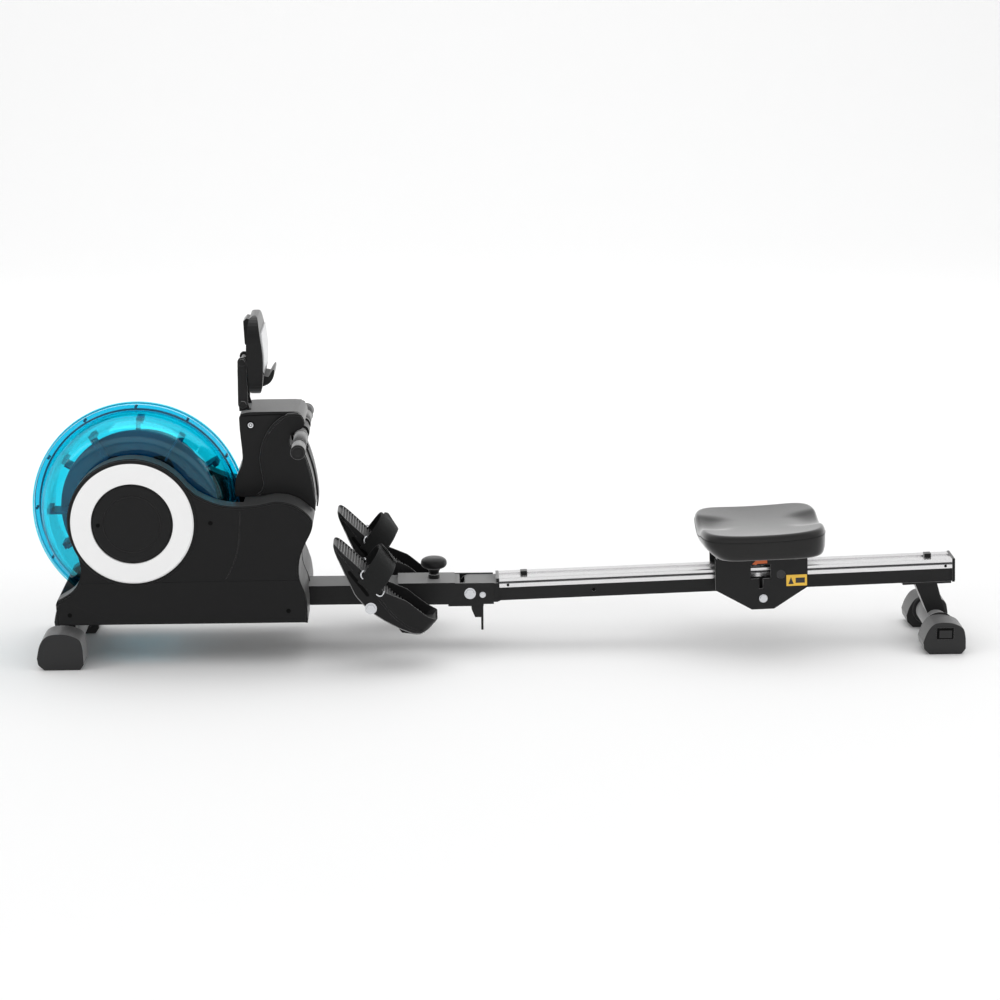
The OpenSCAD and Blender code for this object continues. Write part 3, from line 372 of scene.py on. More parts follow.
# ---------------------------------------------------------------- plain CAD nodes
for name, material, bevel in [
        ("main_beam", "steel", 1.6), ("side_rails", "steel", 0), ("beam_sleeve", "steel", 1.6),
        ("hinge_bracket", "steel", 0.6), ("hinge_bolts", "zinc", 0.4), ("front_tube", "steel", 0),
        # the case screws take the dark blue: on the covers it is painted shade of their holes
        ("tank_gasket", "clear", 0), ("case_screws", "mark", 0.2), ("bearing_posts", "steel", 0),
        ("jack_axle", "zinc", 0), ("impeller_shaft", "zinc", 0), ("impeller", "inner", 0),
        ("large_pulley", "plastic", 0), ("drive_belt", "belt", 0), ("strap_spool", "plastic", 0),
        ("guide_roller", "nylon", 0.3), ("handle_bar", "steel", 0), ("strap_clamp", "plastic", 0.8),
        ("console_arm", "steel", 0.5), ("console_mount", "steel", 0.4),
        ("console_body", "plastic", 1.6), ("console_face", "screen", 0.5),
        ("pedal_axle", "zinc", 0.4), ("fold_knob", "plastic", 0.6), ("rail_tongue", "steel", 0.8),
        ("rail_tube", "steel", 1.4), ("rail_track", "track", 0.3), ("rail_end_cap", "plastic", 0.8),
        ("rear_post", "steel", 1.6), ("rear_tube", "steel", 0), ("level_wheel_a", "rubber", 0.3),
        ("level_wheel_b", "rubber", 0.3), ("seat_base", "steel", 0.6),
        ("carriage_plates", "steel", 0.5), ("carriage_axles", "zinc", 0.3),
        ("roller_front", "nylon", 0), ("roller_rear", "nylon", 0), ("roller_lower", "nylon", 0),
        ("cover_a", "cover", 1.8), ("cover_b", "cover", 1.8), ("trim_rings", "white", 0.8),
        ("hub_caps", "plastic", 0.4), ("tower_core", "plastic_soft", 2.2),
        ("tower_wings", "plastic_soft", 1.4), ("tower_spine", "plastic_grey", 0.8)]:
    cad(name, material, bevel, segs=3)

# the console's lower ledge is black, the face over it light
face = N["console_face"]
face.data.materials.append(M["plastic"])
for f in face.data.polygons:
    if f.center.z < 0.5925:
        f.material_index = len(face.data.materials) - 1

# ---------------------------------------------------------------- tank
TX, TZ = -735.0, 300.0
SHELL_OUT = [(16, 96), (150, 96), (160, 95.6), (168, 94)]
SHELL_OUT += [(p.x, p.y) for p in smo([(170, 93.4), (178, 88), (186, 77), (192, 61), (196.5, 42),
                                       (199, 26), (200, 15)], 4)][1:]
SHELL_IN = [(196.6, 12.0), (195.6, 26)]
SHELL_IN += [(p.x, p.y) for p in smo([(195.4, 28), (192.6, 42), (188, 59.5), (182, 74),
                                      (175, 84.4), (168, 89.4)], 4)][1:]
SHELL_IN += [(158, 91.6), (150, 92), (16, 92)]
for name, node, sy in (("tank_shell_near", "tank_shell_a", -1), ("tank_shell_far",
                                                               "tank_shell_b", 1)):
    bm = new()
    prof = SHELL_OUT + [(201.5, 8.6), (204, 7.2), (217, 7.0), (218, 6.2), (218, 1.05), (196.6, 1.05)]
    spin_y(bm, [(r, sy * y) for r, y in prof + SHELL_IN], TX, TZ, 144, closed=True)
    piece(name, bm, "frame", "clear", 40, node=node)
# moulded steps that catch the light on each shell
for name, sy in (("tank_step_near", -1), ("tank_step_far", 1)):
    bm = new()
    for r, y, w in ((214.5, 7.3, 0.8),):
        spin_y(bm, [(r - w, sy * y), (r - w * 0.5, sy * (y + 0.8)), (r + w * 0.5, sy * (y + 0.8)),
                    (r + w, sy * y)], TX, TZ, 144, closed=True)
    piece(name, bm, "frame", "tank_line", 60)

# dark cord in the joint of the two shells
bm = new()
spin_y(bm, [(202.0, -2.6), (204.6, -2.6), (205.3, 0), (204.6, 2.6), (202.0, 2.6), (201.3, 0)],
       TX, TZ, 144, closed=True)
piece("joint_cord", bm, "frame", "mark", 60)

# ---------------------------------------------------------------- cover details
for name, sy in (("cover_boss_near", -1), ("cover_boss_far", 1)):
    bm = new()
    spin_y(bm, [(84, sy * 147.5), (127.4, sy * 147.5), (129.6, sy * 147.5), (129.4, sy * 149.0),
                (128.4, sy * 149.9), (126.6, sy * 150.2), (84, sy * 150.2)], TX, TZ, 128, closed=True)
    piece(name, bm, "frame", "cover", 50)
LOWER = [(-888, 92), (-889, 130), (-881, 140), (-866, 150), (-852, 166), (-842, 176), (-800, 177),
         (-700, 177.4), (-600, 178), (-500, 178.6), (-404, 178.6), (-399, 165), (-394, 149),
         (-393, 120), (-393, 92)]
for name, sy in (("cover_skirt_near", -1), ("cover_skirt_far", 1)):
    bm = new()
    prism(bm, LOWER, sy * 147.0, sy * 149.0)
    piece(name, bm, "frame", "cover", 30, bevel=(1.6, 3))
    bm = new()
    path = [Vector((p.x, sy * 147.9, p.y)) for p in
            smo([(-519, 326), (-521, 290), (-524, 255), (-532, 222), (-544, 196), (-552, 182)], 6)]
    sweep(bm, path, [0.4] + [1.1] * (len(path) - 2) + [0.4], 8)
    path = [Vector((p.x, sy * 147.9, p.y)) for p in
            smo([(-893, 128), (-880, 136), (-866, 134), (-842, 124), (-812, 112), (-780, 101),
                 (-745, 93)], 5)]
    sweep(bm, path, [0.3] + [1.3] * (len(path) - 2) + [0.3], 8)
    piece("cover_crease_" + ("near" if sy < 0 else "far"), bm, "frame", "plastic", 70)
    # dark discs at three cover screws and at the hub cap hole: painted shade in the holes
    bm = new()
    for x, z in ((-579, 299), (-427, 115), (-867, 111)):
        rod(bm, (x, sy * 147.2, z), (x, sy * (148.45 if z > 200 else 149.35), z), 4.6, 28)
    rod(bm, (TX - 68, sy * 152.5, TZ - 2), (TX - 68, sy * 153.35, TZ - 2), 4.2, 28)
    piece("screw_well_" + ("near" if sy < 0 else "far"), bm, "frame", "dark", 50)
    bm = new()
    spin_y(bm, [(55.4, sy * 152.6), (55.9, sy * 153.5), (57.0, sy * 153.9), (58.2, sy * 153.5),
                (58.8, sy * 152.6)], TX, TZ, 96, closed=True)
    piece("hub_bead_" + ("near" if sy < 0 else "far"), bm, "frame", "plastic_soft", 60)

# parting line of the two covers over the nose
bm = new()
nose = smo([(-452, 340), (-427, 338), (-404, 329), (-384, 313), (-375, 297), (-379, 276),
            (-393, 248), (-403, 218), (-404, 181), (-393, 149), (-389, 128)], 4)
sweep(bm, [Vector((p.x + 0.3, 0, p.y)) for p in nose[20:]], 0.7, 6)
piece("cover_seam", bm, "frame", "dark", 60)

# ---------------------------------------------------------------- tower details
LIP = smo([(-395, 500.5), (-414, 502.5), (-432, 498), (-449, 486), (-464, 466), (-475, 441),
           (-480, 411), (-476, 380), (-473, 362), (-478, 347), (-490, 337)], 5)
for name, sy in (("tower_lip_near", -1), ("tower_lip_far", 1)):
    bm = new()
    path = [Vector((p.x, sy * 72.2, p.y)) for p in LIP]
    sweep(bm, path, [0.6, 1.6] + [2.3] * (len(path) - 4) + [1.6, 0.5], 12)
    piece(name, bm, "frame", "plastic_soft", 70)
    # screw in the tower side: a dark disc of painted shade in its hole, with a bright head
    bm = new()
    for x, z, r in ((-499, 481, 8.2),):
        rod(bm, (x, sy * 63.6, z), (x, sy * 64.7, z), r, 32)
    piece("tower_well_" + ("near" if sy < 0 else "far"), bm, "frame", "dark", 50)
    bm = new()
    spin_y(bm, [(3.6, sy * 64.0), (3.6, sy * 65.6), (5.6, sy * 65.9), (6.0, sy * 64.0)],
           -499, 481, 32, closed=True)
    rod(bm, (-499, sy * 64.0, 481), (-499, sy * 65.0, 481), 2.4, 6)
    piece("tower_screw_" + ("near" if sy < 0 else "far"), bm, "frame", "zinc", 40)
    # thin bright rims round the two pivots of the console arm
    bm = new()
    for z, y0 in ((519, 40.4), (605, 38.0)):
        spin_y(bm, [(7.6, sy * y0), (7.6, sy * (y0 + 0.6)), (8.6, sy * (y0 + 0.7)),
                    (8.8, sy * y0)], -515, z, 36, closed=True)
    piece("arm_rim_" + ("near" if sy < 0 else "far"), bm, "console_arm", "plastic_grey", 40)
# groove down the spine and its two strap slots, drawn as dark lines and patches of painted shade
bm = new()
for y in (-19.2, 19.2):
    path = [Vector((p.x + 0.4, y, p.y)) for p in
            smo([(-392, 428), (-386, 410), (-377.5, 380), (-372, 350), (-370, 322)], 6)]
    sweep(bm, path, 0.9, 8)
piece("spine_groove", bm, "frame", "dark", 60)
bm = new()
for y in (-10.5, -4.5):
    prism(bm, [(-386.2, 409), (-389.4, 422), (-388.0, 422.6), (-384.8, 409.4)], y - 1.6, y + 1.6)
piece("spine_slots", bm, "frame", "dark", 60)
# seam of the top deck
bm = new()
for y in (-64.4, 64.4):
    sweep(bm, [(-519, y, 499.5), (-470, y, 501.5), (-433, y, 502)], 0.8, 6)
prism(bm, arc(-505, 0, 6.2, 0, 360, 28)[:-1], 507.4, 508.4, put=lambda a, b, y: (a, b - 34, y))
piece("deck_seam", bm, "frame", "dark", 60)

# ---------------------------------------------------------------- handle
GX, GZ = -398.0, 455.0
for name, sy in (("grip_near", -1), ("grip_far", 1)):
    bm = new()
    prof = [(10.1, 66.2), (13.2, 66.2), (14, 67.2), (14, 148.2), (13.3, 149.0), (13.3, 149.9),
            (14.6, 150.3), (15.0, 151.2), (15.0, 153.0), (14.6, 153.8), (13.3, 154.2),
            (13.3, 155.1), (14, 155.8), (14, 203.6), (14.9, 204.4), (15.0, 206.4), (14.3, 208.2),
            (12.8, 209.0), (11.6, 209.0), (11.0, 208.1), (9.6, 208.1), (9.0, 208.7), (0.01, 208.9)]
    spin_y(bm, [(r, sy * y) for r, y in prof] + [(0.01, sy * 205.4), (10.1, sy * 205.4)],
           GX, GZ, 64, closed=True)
    piece(name, bm, "handle", "foam", 45, node="handle_grips" if sy < 0 else ())


def band(name, pts, s0, width, body, node, y0, side, cols=9, thick=2.6, lift=0.0, tip=False):
    """A strap over a pedal. pts are (across, out) points of its path in the sole frame."""
    line = smo(pts, 7)
    run = [0.0]
    for a, b in zip(line, line[1:]):
        run.append(run[-1] + (b - a).length)
    bm = new()
    uv = bm.loops.layers.uv.new("UVMap")
    grid = {}
    rows = []
    for i, p in enumerate(line):
        t = run[i] / run[-1]
        row = []
        for j in range(cols):
            v = j / (cols - 1)
            wid = width
            if tip and t > 0.9:
                wid = width * (1 - 0.35 * ((t - 0.9) / 0.1) ** 2)
            s = s0 + (v - 0.5) * wid + width / 2 + 1.6 * math.sin(3.0 * t + 0.6)
            edge = -0.7 * (2 * v - 1) ** 4 + 0.35 * math.sin(9 * t + 5 * v)
            nx = Vector((line[min(i + 1, len(line) - 1)] - line[max(i - 1, 0)])).normalized()
            q = p + Vector((-nx.y, nx.x)) * (edge + lift)
            q.y += 12 * (v - 0.42) * min(1, max(0, (p.y + 8) / 30))
            x, z = on_sole(s, q.y)
            w = bm.verts.new((x, y0 + side * q.x, z))
            grid[w] = (v * width * MM, run[i] * MM)
            row.append(w)
        rows.append([bm.edges.new(e) for e in zip(row, row[1:])])
    for a, b in zip(rows, rows[1:]):
        bmesh.ops.bridge_loops(bm, edges=a + b)
    for f in bm.faces:
        for lp in f.loops:
            lp[uv].uv = grid[lp.vert]
    o = piece(name, bm, body, "web", 60, node=node, solid=thick, sub=1)
    return o


ARCH = [(-52.0, -33), (-52.9, -22), (-53.0, -8), (-51.6, 6), (-46.5, 18), (-35, 28), (-17, 34.5),
        (4, 36), (24, 33), (40, 24), (50, 9), (53, -7), (52.9, -21), (52.0, -32)]
TAB = [(-55.2, -30), (-56.0, -18), (-56.2, -4), (-54.6, 10), (-49, 22.5), (-37, 32.5),
       (-18, 39.4), (1, 41.2), (11, 42.4)]
PEDAL_LOW = [(0, -8), (2, -30), (8, -44), (24, -55), (50, -62), (83, -67), (116, -69), (141, -65),
             (163, -60), (185, -48), (206, -37), (232, -22), (250, -12), (258, -6)]
PEDAL_RIM = [(0, -1), (8, -4), (20, -6.6), (43, -6.8), (73, -5.5), (95, -11), (120, -17.6),
             (150, -14), (180, -9), (215, -5), (244, -2), (254, -1.4), (258, -2.4)]
PEDAL_FLOOR = [(0, -14), (9, -24), (16, -30), (60, -31), (95, -31), (120, -26), (150, -20),
               (180, -13), (220, -8.6), (250, -5.6), (258, -4)]
TOE = 258.0
for tag, side, pedal, strap, body in (("near", 1, "pedal_a", "foot_strap_a", "pedal_near"),
                                      ("far", -1, "pedal_b", "foot_strap_b", "pedal_far")):
    yc = -138.0 * side
    secs = []
    for k in range(45):
        s = TOE * (0.5 - 0.5 * math.cos(math.pi * k / 44))
        end = min(1.0, s / 22)
        toe = min(1.0, (TOE - s) / 30)
        hw = 49 * (0.68 + 0.32 * math.sqrt(max(0.0, 1 - (1 - end) ** 2)))
        hw *= 0.5 + 0.5 * math.sqrt(max(0.0, 1 - (1 - toe) ** 2))
        lo_n, rim, flo = lerp(PEDAL_LOW, s), lerp(PEDAL_RIM, s), lerp(PEDAL_FLOOR, s)
        flo = min(flo, rim - 2.5 * min(1, (TOE - s) / 14) - 0.6)
        r = min(6.0, (flo - lo_n) * 0.3)
        wall = 4.2
        half = [(0, lo_n), (hw * 0.55, lo_n), (hw - r - 1, lo_n + 0.2), (hw - 1.2, lo_n + r * 0.55),
                (hw, lo_n + r * 1.4), (hw, rim - 2.2), (hw - 0.5, rim - 0.7), (hw - 1.6, rim),
                (hw - wall + 1.2, rim), (hw - wall + 0.3, rim - 0.7), (hw - wall - 0.4, flo + 2.0),
                (hw - wall - 2.2, flo + 0.3), (hw * 0.5, flo), (0, flo)]
        loop = half + [(-y, n) for y, n in reversed(half[1:-1])]
        pts = []
        for y, n in loop:
            x, z = on_sole(s, n)
            pts.append((x, yc + side * y, z))
        secs.append(pts)
    bm = new()
    loft(bm, secs)
    piece("pedal_" + tag, bm, body, "plastic", 38, node=pedal)
    # tread ribs, in a lighter black than the pedal: painted highlight on the ribs
    bm = new()
    s = 22.0
    while s < 246:
        flo = lerp(PEDAL_FLOOR, s)
        rim = lerp(PEDAL_RIM, s)
        hw = 49 * (0.68 + 0.32 * math.sqrt(max(0.0, 1 - (1 - min(1.0, s / 22)) ** 2)))
        hw *= 0.5 + 0.5 * math.sqrt(max(0.0, 1 - (1 - min(1.0, (TOE - s) / 30)) ** 2))
        top = min(rim - 0.4, flo + 4.6)
        prism(bm, [(s, flo - 1), (s + 0.5, top), (s + 2.4, top), (s + 3.4, flo - 1)],
              yc - (hw - 5.2), yc + (hw - 5.2),
              put=lambda a, b, y: (on_sole(a, b)[0], y, on_sole(a, b)[1]))
        s += 7.2
    piece("tread_" + tag, bm, body, "tread", 40)
    # dark slot and crease lines on the side walls: painted shade in the slot and creases
    bm = new()
    for ws in (-1, 1):
        yo = yc + ws * 49.0
        for a, b, w, na, nb in ((144, 202, 3.6, -42, -26), (128, 186, 1.2, -30, -15)):
            loop = [(a, na - w), (b, nb - w), (b + w, nb), (b, nb + w), (a, na + w), (a - w, na)]
            prism(bm, loop, yo - 0.4 * ws, yo + 0.25 * ws,
                  put=lambda p, q, y: (on_sole(p, q)[0], y, on_sole(p, q)[1]))
    piece("pedal_slot_" + tag, bm, body, "dark", 50)
    bm = new()
    for ws in (-1, 1):
        yo = yc + ws * 48.9
        for line in ([(6, -36), (40, -44), (80, -42), (124, -31)],
                     [(8, -40), (42, -48.5), (82, -46.5), (128, -35)],
                     [(196, -20), (220, -13), (240, -8), (252, -5)]):
            pth = [Vector((on_sole(q.x, q.y)[0], yo, on_sole(q.x, q.y)[1])) for q in smo(line, 6)]
            sweep(bm, pth, [0.3] + [0.85] * (len(pth) - 2) + [0.3], 8)
    piece("pedal_crease_" + tag, bm, body, "plastic_soft", 70)
    # rubber foot under the heel
    bm = new()
    prism(bm, [(8, -40), (16, -50), (34, -57), (52, -61), (50, -64.5), (40, -67.5), (14, -53),
               (7, -47)], yc - 34, yc + 34,
          put=lambda a, b, y: (on_sole(a, b)[0], y, on_sole(a, b)[1]))
    piece("heel_foot_" + tag, bm, body, "belt", 40, bevel=(1.2, 2))
    # wire ends that hold the strap
    bm = new()
    for ws in (-1, 1):
        for wire in (((179, -6, 46.5), (181.5, -8, 51), (182, -13, 54.5), (178.5, -17.5, 55.4),
                      (173, -19.5, 53.4)),
                     ((122.5, -17, 46.5), (121.5, -20, 51), (122, -25, 54.5), (126, -28.5, 55.4),
                      (132, -29, 53.4))):
            pth = []
            for s, n, y in wire:
                x, z = on_sole(s, n)
                pth.append(Vector((x, yc + ws * y, z)))
            sweep(bm, smo(pth, 5), 1.7, 12)
    piece("strap_wire_" + tag, bm, body, "zinc", 60)
    band("foot_band_" + tag, ARCH, 128, 50, body, strap, yc, -1 if side > 0 else 1)
    band("foot_tab_" + tag, TAB, 130, 46, body, (), yc, -1 if side > 0 else 1, thick=2.2,
         tip=True)
    # bolt with a broad washer
    bm = new()
    for ws in (-1, 1):
        y1 = yc + ws * 49.3
        spin_y(bm, [(0.01, y1), (11.4, y1), (11.9, y1 + ws * 0.5), (11.4, y1 + ws * 1.7),
                    (7.4, y1 + ws * 1.9), (7.2, y1 + ws * 4.0), (5.6, y1 + ws * 5.6),
                    (3.4, y1 + ws * 6.1), (3.3, y1 + ws * 3.6), (0.01, y1 + ws * 3.6)],
               -260, 129, 48)
    piece("pedal_bolt_" + tag, bm, body, "zinc", 35)

# ---------------------------------------------------------------- knob neck, hinge, sleeve
bm = new()
prof = [(6.2, 147.0)]
for k in range(4):
    z = 149.4 + 2.9 * k
    prof += [(8.6, z), (10.4, z + 0.7), (10.4, z + 1.6), (8.6, z + 2.3)]
prof += [(6.2, 161.0)]
vs = [bm.verts.new((-133 + r, 0, z)) for r, z in prof]
es = [bm.edges.new(e) for e in zip(vs, vs[1:])] + [bm.edges.new((vs[-1], vs[0]))]
bmesh.ops.spin(bm, geom=vs + es, cent=(-133, 0, 0), axis=(0, 0, 1), angle=2 * math.pi, steps=40,
               use_merge=True)
bmesh.ops.remove_doubles(bm, verts=bm.verts, dist=0.001)
piece("knob_neck", bm, "knob", "plastic_soft", 40)
bm = new()
prof = smo([(0.01, 149.6), (9, 149.6), (11.4, 156), (16, 161.4), (23, 164.2), (26.4, 168.6),
            (26.9, 173.6), (24.6, 179.2), (18, 183.2), (9, 184.8), (0.01, 185)], 5)
vs = [bm.verts.new((-133 + p.x, 0, p.y)) for p in prof]
es = [bm.edges.new(e) for e in zip(vs, vs[1:])]
bmesh.ops.spin(bm, geom=vs + es, cent=(-133, 0, 0), axis=(0, 0, 1), angle=2 * math.pi, steps=64,
               use_merge=True)
bmesh.ops.remove_doubles(bm, verts=bm.verts, dist=0.001)
piece("knob_head", bm, "knob", "plastic", 60, node="fold_knob")
bm = new()
for sy in (-1, 1):
    spin_y(bm, [(9.4, sy * 42.05), (11.6, sy * 42.05), (11.8, sy * 42.8), (9.4, sy * 43.3)],
           -59, 117, 40, closed=True)
piece("hinge_washers", bm, "frame", "zinc", 40)

# ---------------------------------------------------------------- foot caps


def cap_outline(w, h):
    left = [(-w / 2 + 14, 0), (-w / 2 + 2, 12)]
    top = smo([(-w / 2, 26), (-w / 2 + 6, h - 24), (-w / 2 + 16, h - 8), (-w * 0.18, h - 1),
               (w * 0.06, h), (w * 0.26, h - 4), (w / 2 - 6, h - 14), (w / 2 - 1, h - 34)], 5)
    return left + [(p.x, p.y) for p in top] + [(w / 2, 12), (w / 2 - 8, 0)]


for tag, cx, w, h, y0, y1, node, body in (("front", -888, 94, 76, 98, 168, "front_caps", "frame"),
                                          ("rear", 909, 88, 68, 68, 134, "rear_caps", "rail")):
    for side, sy in (("near", -1), ("far", 1)):
        bm = new()
        prism(bm, [(cx + a, b) for a, b in cap_outline(w, h)], sy * y0, sy * y1)
        for zc in (24.0, 8.0):
            bmesh.ops.bisect_plane(bm, geom=bm.verts[:] + bm.edges[:] + bm.faces[:], dist=0.001,
                                   plane_co=(0, 0, zc), plane_no=(0, 0, 1))
        for v in bm.verts:
            if abs(v.co.y - sy * y1) < 0.01 and v.co.z < 23.9:
                v.co.y -= sy * (1.4 if v.co.z > 7.9 else 3.6)
        o = piece("cap_%s_%s" % (tag, side), bm, body, "rubber", 25, bevel=(2.0, 3, 28),
                  node=node if sy < 0 else ())
        # moulded band round the tube end
        bm = new()
        spin_y(bm, [(25.2, sy * (y0 - 4)), (30.5, sy * (y0 - 4)), (32, sy * (y0 - 2.5)),
                    (33, sy * (y0 + 3)), (25.2, sy * (y0 + 3))], -880 if tag == "front" else cx, 40,
               48, closed=True)
        piece("cap_collar_%s_%s" % (tag, side), bm, body, "rubber", 40)
        if tag == "rear":
            # dark patch behind the wheel: painted shade in the cap's opening
            bm = new()
            prism(bm, [(cx - 17, 34), (cx + 17, 34), (cx + 17, 57), (cx - 17, 57)],
                  sy * 133.2, sy * 134.15)
            piece("cap_window_" + side, bm, body, "dark", 40)
            bm = new()
            for a, b, c, d in ((-18.5, -17, 32.5, 58.5), (17, 18.5, 32.5, 58.5),
                               (-18.5, 18.5, 57, 58.5), (-18.5, 18.5, 32.5, 34)):
                prism(bm, [(cx + a, c), (cx + b, c), (cx + b, d), (cx + a, d)], sy * 133.4,
                      sy * 134.6)
            prism(bm, [(cx - 12, 36), (cx + 14, 36), (cx + 14, 52), (cx - 12, 52)],
                  sy * 133.6, sy * 134.4)
            piece("cap_wheel_" + side, bm, body, "rubber", 40, bevel=(0.4, 2))

# ---------------------------------------------------------------- rail details
# dark grey lines along the track's sides: painted shade of its grooves
bm = new()
for y in (-31.25, 31.25):
    for s0, s1 in ((0.6, 937.6),):
        a, b = on_rail(s0, y, -9.5), on_rail(s1, y, -9.5)
        rod(bm, a, b, 1.1, 8)
piece("track_groove", bm, "rail", "plastic_grey", 50)
# dark discs on the rail: painted shade in its holes
bm = new()
for s0 in (18, 924):
    for y in (-31, 31):
        rod(bm, on_rail(s0, y * 0.99, -15), on_rail(s0, y * 1.012, -15), 2.6, 20)
rod(bm, on_rail(195, -27.8, -34), on_rail(195, -28.25, -34), 3.2, 20)
piece("track_holes", bm, "rail", "dark", 50)

# ---------------------------------------------------------------- seat
bm = new()
L, W = 127.5, 134.5
ROUND = 12.0


def plan(t):
    c, s = math.cos(t), math.sin(t)
    n = 2 / 5.2
    return (math.copysign(abs(c) ** n, c), math.copysign(abs(s) ** n, s))


def seat_top(x, y):
    """Height of the dished top over the track."""
    t, v = x / L, y / W
    h = 92.5 + 1.6 * t + 7.2 * t * t
    h -= 7.0 * (1 - v * v) * (1 - 0.35 * t * t)
    e = min(1.0, max(0.0, (abs(x) - 50) / 62))
    e = e * e * (3 - 2 * e)
    h -= 12.5 * e * math.exp(-(abs(y) / 44) ** 4)
    return h


secs = []
K = 112
for f in (0.03, 0.12, 0.22, 0.32, 0.42, 0.52, 0.6, 0.68, 0.75, 0.81, 0.865, 0.905, 0.935):
    secs.append([(f * L * plan(2 * math.pi * k / K)[0], f * W * plan(2 * math.pi * k / K)[1])
                 for k in range(K)])
rings = [[on_rail(PAD + x, y, seat_top(x, y)) for x, y in r] for r in secs]
for a in (15, 30, 45, 60, 75, 90):
    f = 0.935 + 0.065 * math.sin(math.radians(a))
    d = ROUND * (1 - math.cos(math.radians(a)))
    ring = []
    for k in range(K):
        px, py = plan(2 * math.pi * k / K)
        ring.append(on_rail(PAD + f * L * px, f * W * py,
                            seat_top(0.935 * L * px, 0.935 * W * py) - d))
    rings.append(ring)
for q, fr, re, si in ((0.16, -0.6, -0.4, -0.5), (0.3, 0.6, -0.5, -0.6), (0.45, 4, -0.3, -0.5),
                      (0.6, 9, 0.2, -0.2), (0.75, 15.5, 1.2, 0.6), (0.88, 22.0, 3.0, 2.0),
                      (0.96, 27.0, 5.5, 5.0), (1.0, 32.0, 9.5, 10.0)):
    ring = []
    for k in range(K):
        px, py = plan(2 * math.pi * k / K)
        c, s = math.cos(2 * math.pi * k / K), math.sin(2 * math.pi * k / K)
        hi = seat_top(0.935 * L * px, 0.935 * W * py) - ROUND
        x = L * px - math.copysign(1, px) * (fr if px < 0 else re) * abs(px) ** 1.5
        y = W * py - math.copysign(1, py) * si * abs(py)
        ring.append(on_rail(PAD + x, y, hi + (38.6 - hi) * q))
    rings.append(ring)
loft(bm, rings)
seat = piece("seat_pad", bm, "seat", "cushion", 60, node="seat_cushion", sub=1)
# shallow seam round the side of the cushion
bm = new()
path = []
for k in range(0, K):
    px, py = plan(2 * math.pi * k / K)
    hi = seat_top(0.935 * L * px, 0.935 * W * py) - ROUND
    path.append(on_rail(PAD + (L + 0.3) * px, (W + 0.3) * py, hi - 1.5))
path.append(path[0])
sweep(bm, path, 0.55, 6, caps=False)
piece("seat_seam", bm, "seat", "belt", 70)
# labels without lettering, and the dark parts in the side plates
for side, sy in (("near", -1), ("far", 1)):
    def put(a, b, y):
        return on_rail(SEAT + a, y, b)
    bm = new()
    prism(bm, [(52, -35), (94.5, -35), (94.5, -11.5), (52, -11.5)], sy * 60.05, sy * 60.35, put)
    piece("label_plain_" + side, bm, "seat", "yellow", 40)
    bm = new()
    prism(bm, [(-18, 14.5), (-8, 12.6), (-8, 15), (13, 15.5), (13, 22), (-8, 21.6), (-8, 24)],
          sy * 60.05, sy * 60.35, put)
    piece("label_arrow_" + side, bm, "seat", "orange", 40)
    bm = new()
    prism(bm, [(56, -31), (67, -31), (61.5, -16)], sy * 60.3, sy * 60.5, put)
    prism(bm, [(71, -29), (90, -29), (90, -18), (71, -18)], sy * 60.3, sy * 60.5, put)
    prism(bm, [(a + 72, b + 25) for a, b in arc(0, 0, 5.2, 0, 360, 24)[:-1]], sy * 59.8, sy * 61.2,
          put)
    rod(bm, on_rail(SEAT + 41, sy * 58.9, -9), on_rail(SEAT + 41, sy * 59.3, -9), 8.9, 32)
    piece("plate_marks_" + side, bm, "seat", "plastic_grey", 40)

# ---------------------------------------------------------------- pull strap
d = Vector((math.cos(math.radians(8)), 0, math.sin(math.radians(8))))
g = Vector((GX, 0, GZ))
a, b = g - 42.4 * d, g - 21.9 * d
bm = new()
uv = bm.loops.layers.uv.new("UVMap")
rows, grid = [], {}
for i in range(41):
    p = a + (b - a) * i / 40
    row = [bm.verts.new(p + Vector((0, y, 0))) for y in (-12.5, -6.2, 0, 6.2, 12.5)]
    for j, v in enumerate(row):
        grid[v] = (0.00625 * j, i * 0.025)
    rows.append([bm.edges.new(e) for e in zip(row, row[1:])])
for ea, eb in zip(rows, rows[1:]):
    bmesh.ops.bridge_loops(bm, edges=ea + eb)
for f in bm.faces:
    for lp in f.loops:
        lp[uv].uv = grid[lp.vert]
o = piece("strap_run", bm, None, "web", 60, node="pull_strap", solid=1.8)
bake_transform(o)

# ---------------------------------------------------------------- camera, floor and light
cam_d = bpy.data.cameras.new("camera")
cam = bpy.data.objects.new("camera", cam_d)
bpy.context.scene.collection.objects.link(cam)
cam_d.lens = 98.0
cam_d.sensor_width = 36.0
cam_d.clip_end = 100
pitch, yaw, roll = math.radians(13.6135), math.radians(1.4204), math.radians(-0.3147)
fwd = Vector((math.sin(yaw) * math.cos(pitch), math.cos(yaw) * math.cos(pitch), -math.sin(pitch)))
right = Vector((math.cos(yaw), -math.sin(yaw), 0))
up = right.cross(fwd)
r2 = math.cos(roll) * right + math.sin(roll) * up
u2 = -math.sin(roll) * right + math.cos(roll) * up
cam.matrix_world = Matrix(((r2.x, u2.x, -fwd.x, -0.1303), (r2.y, u2.y, -fwd.y, -5.4451),
                           (r2.z, u2.z, -fwd.z, 1.6232), (0, 0, 0, 1)))
bpy.context.scene.camera = cam

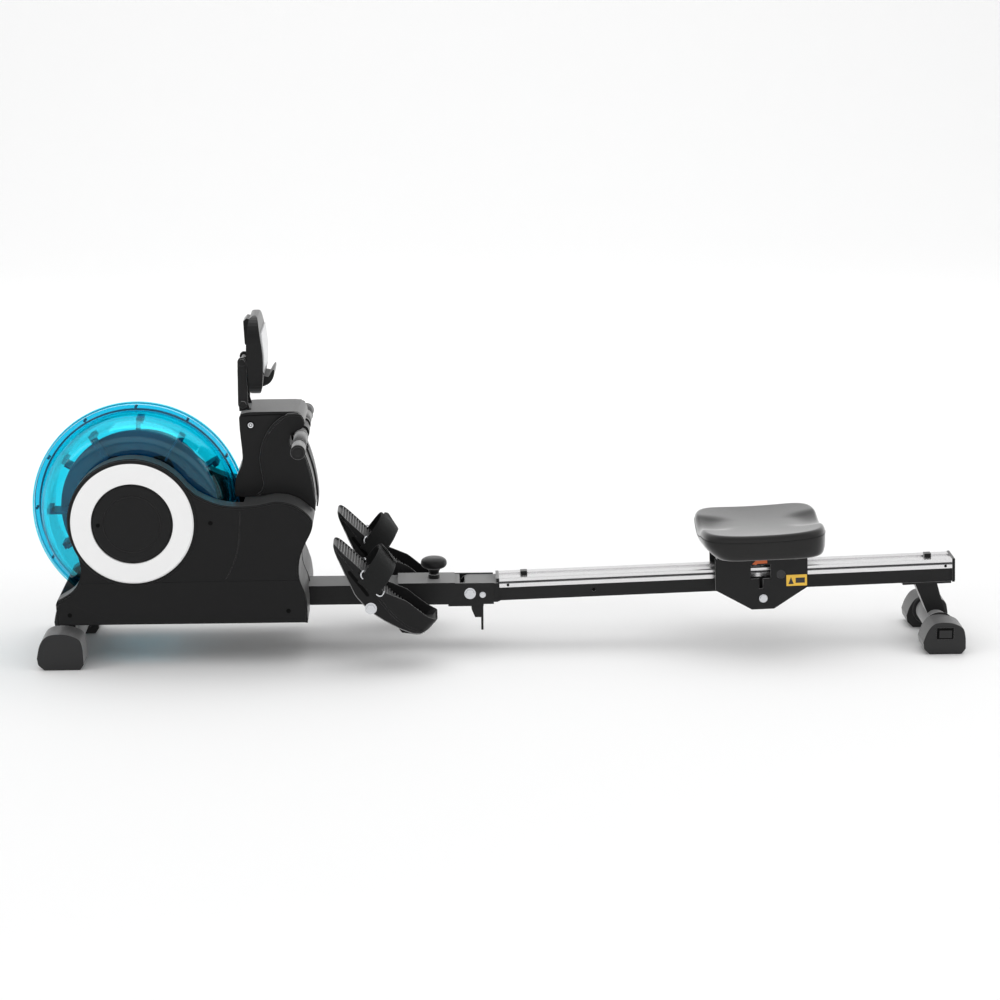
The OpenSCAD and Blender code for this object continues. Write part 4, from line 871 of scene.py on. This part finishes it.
bm = bmesh.new()
prof = [(-12, 0), (5, 0)] + [(5 + 4 * math.sin(t * math.pi / 24), 4 - 4 * math.cos(t * math.pi / 24))
                             for t in range(1, 13)] + [(9, 14)]
for (ya, za), (yb, zb) in zip(prof, prof[1:]):
    vs = [bm.verts.new(v) for v in ((-14, ya, za), (14, ya, za), (14, yb, zb), (-14, yb, zb))]
    bm.faces.new(vs)
bmesh.ops.remove_doubles(bm, verts=bm.verts, dist=0.0001)
me = bpy.data.meshes.new("floor")
bm.to_mesh(me)
bm.free()
floor = bpy.data.objects.new("floor", me)
bpy.context.scene.collection.objects.link(floor)
floor.data.materials.append(mat("floor_white", (0.9, 0.9, 0.9), 0.75, spec=0.1))
shade(floor, 80)


def area(name, loc, size, power, target=(0, 0, 0.3), color=(1, 1, 1)):
    d = bpy.data.lights.new(name, "AREA")
    d.shape = "RECTANGLE"
    d.size, d.size_y = size
    d.energy = power
    d.color = color
    o = bpy.data.objects.new(name, d)
    bpy.context.scene.collection.objects.link(o)
    o.location = loc
    o.rotation_mode = "QUATERNION"
    o.rotation_quaternion = (Vector(target) - Vector(loc)).to_track_quat("-Z", "Y")
    return o


area("top", (0.2, 0.9, 3.2), (4.6, 2.6), 34)
area("low_fill", (0, -3.2, 0.9), (5, 1.2), 14, target=(0, 0, 0.1))
area("wall", (0, 1.6, 4.2), (9, 2), 170, target=(0, 8, 2.2))
area("left", (-3.6, -1.6, 2.6), (1.6, 1.6), 16)
area("right", (3.4, -1.8, 2.4), (1.6, 1.6), 16)
w = bpy.data.worlds.new("studio")
w.use_nodes = True
nt = w.node_tree
tc = nt.nodes.new("ShaderNodeTexCoord")
sx = nt.nodes.new("ShaderNodeSeparateXYZ")
mr = nt.nodes.new("ShaderNodeMapRange")
mr.interpolation_type = "SMOOTHSTEP"
mr.inputs["From Min"].default_value = -0.7
mr.inputs["From Max"].default_value = 0.4
mr.inputs["To Min"].default_value = 0.7
mr.inputs["To Max"].default_value = 0.95
nt.links.new(tc.outputs["Generated"], sx.inputs[0])
nt.links.new(sx.outputs["Y"], mr.inputs["Value"])
nt.links.new(mr.outputs["Result"], nt.nodes["Background"].inputs[1])
nt.nodes["Background"].inputs[0].default_value = (1, 1, 1, 1)
bpy.context.scene.world = w
bpy.context.scene.view_settings.view_transform = "Standard"
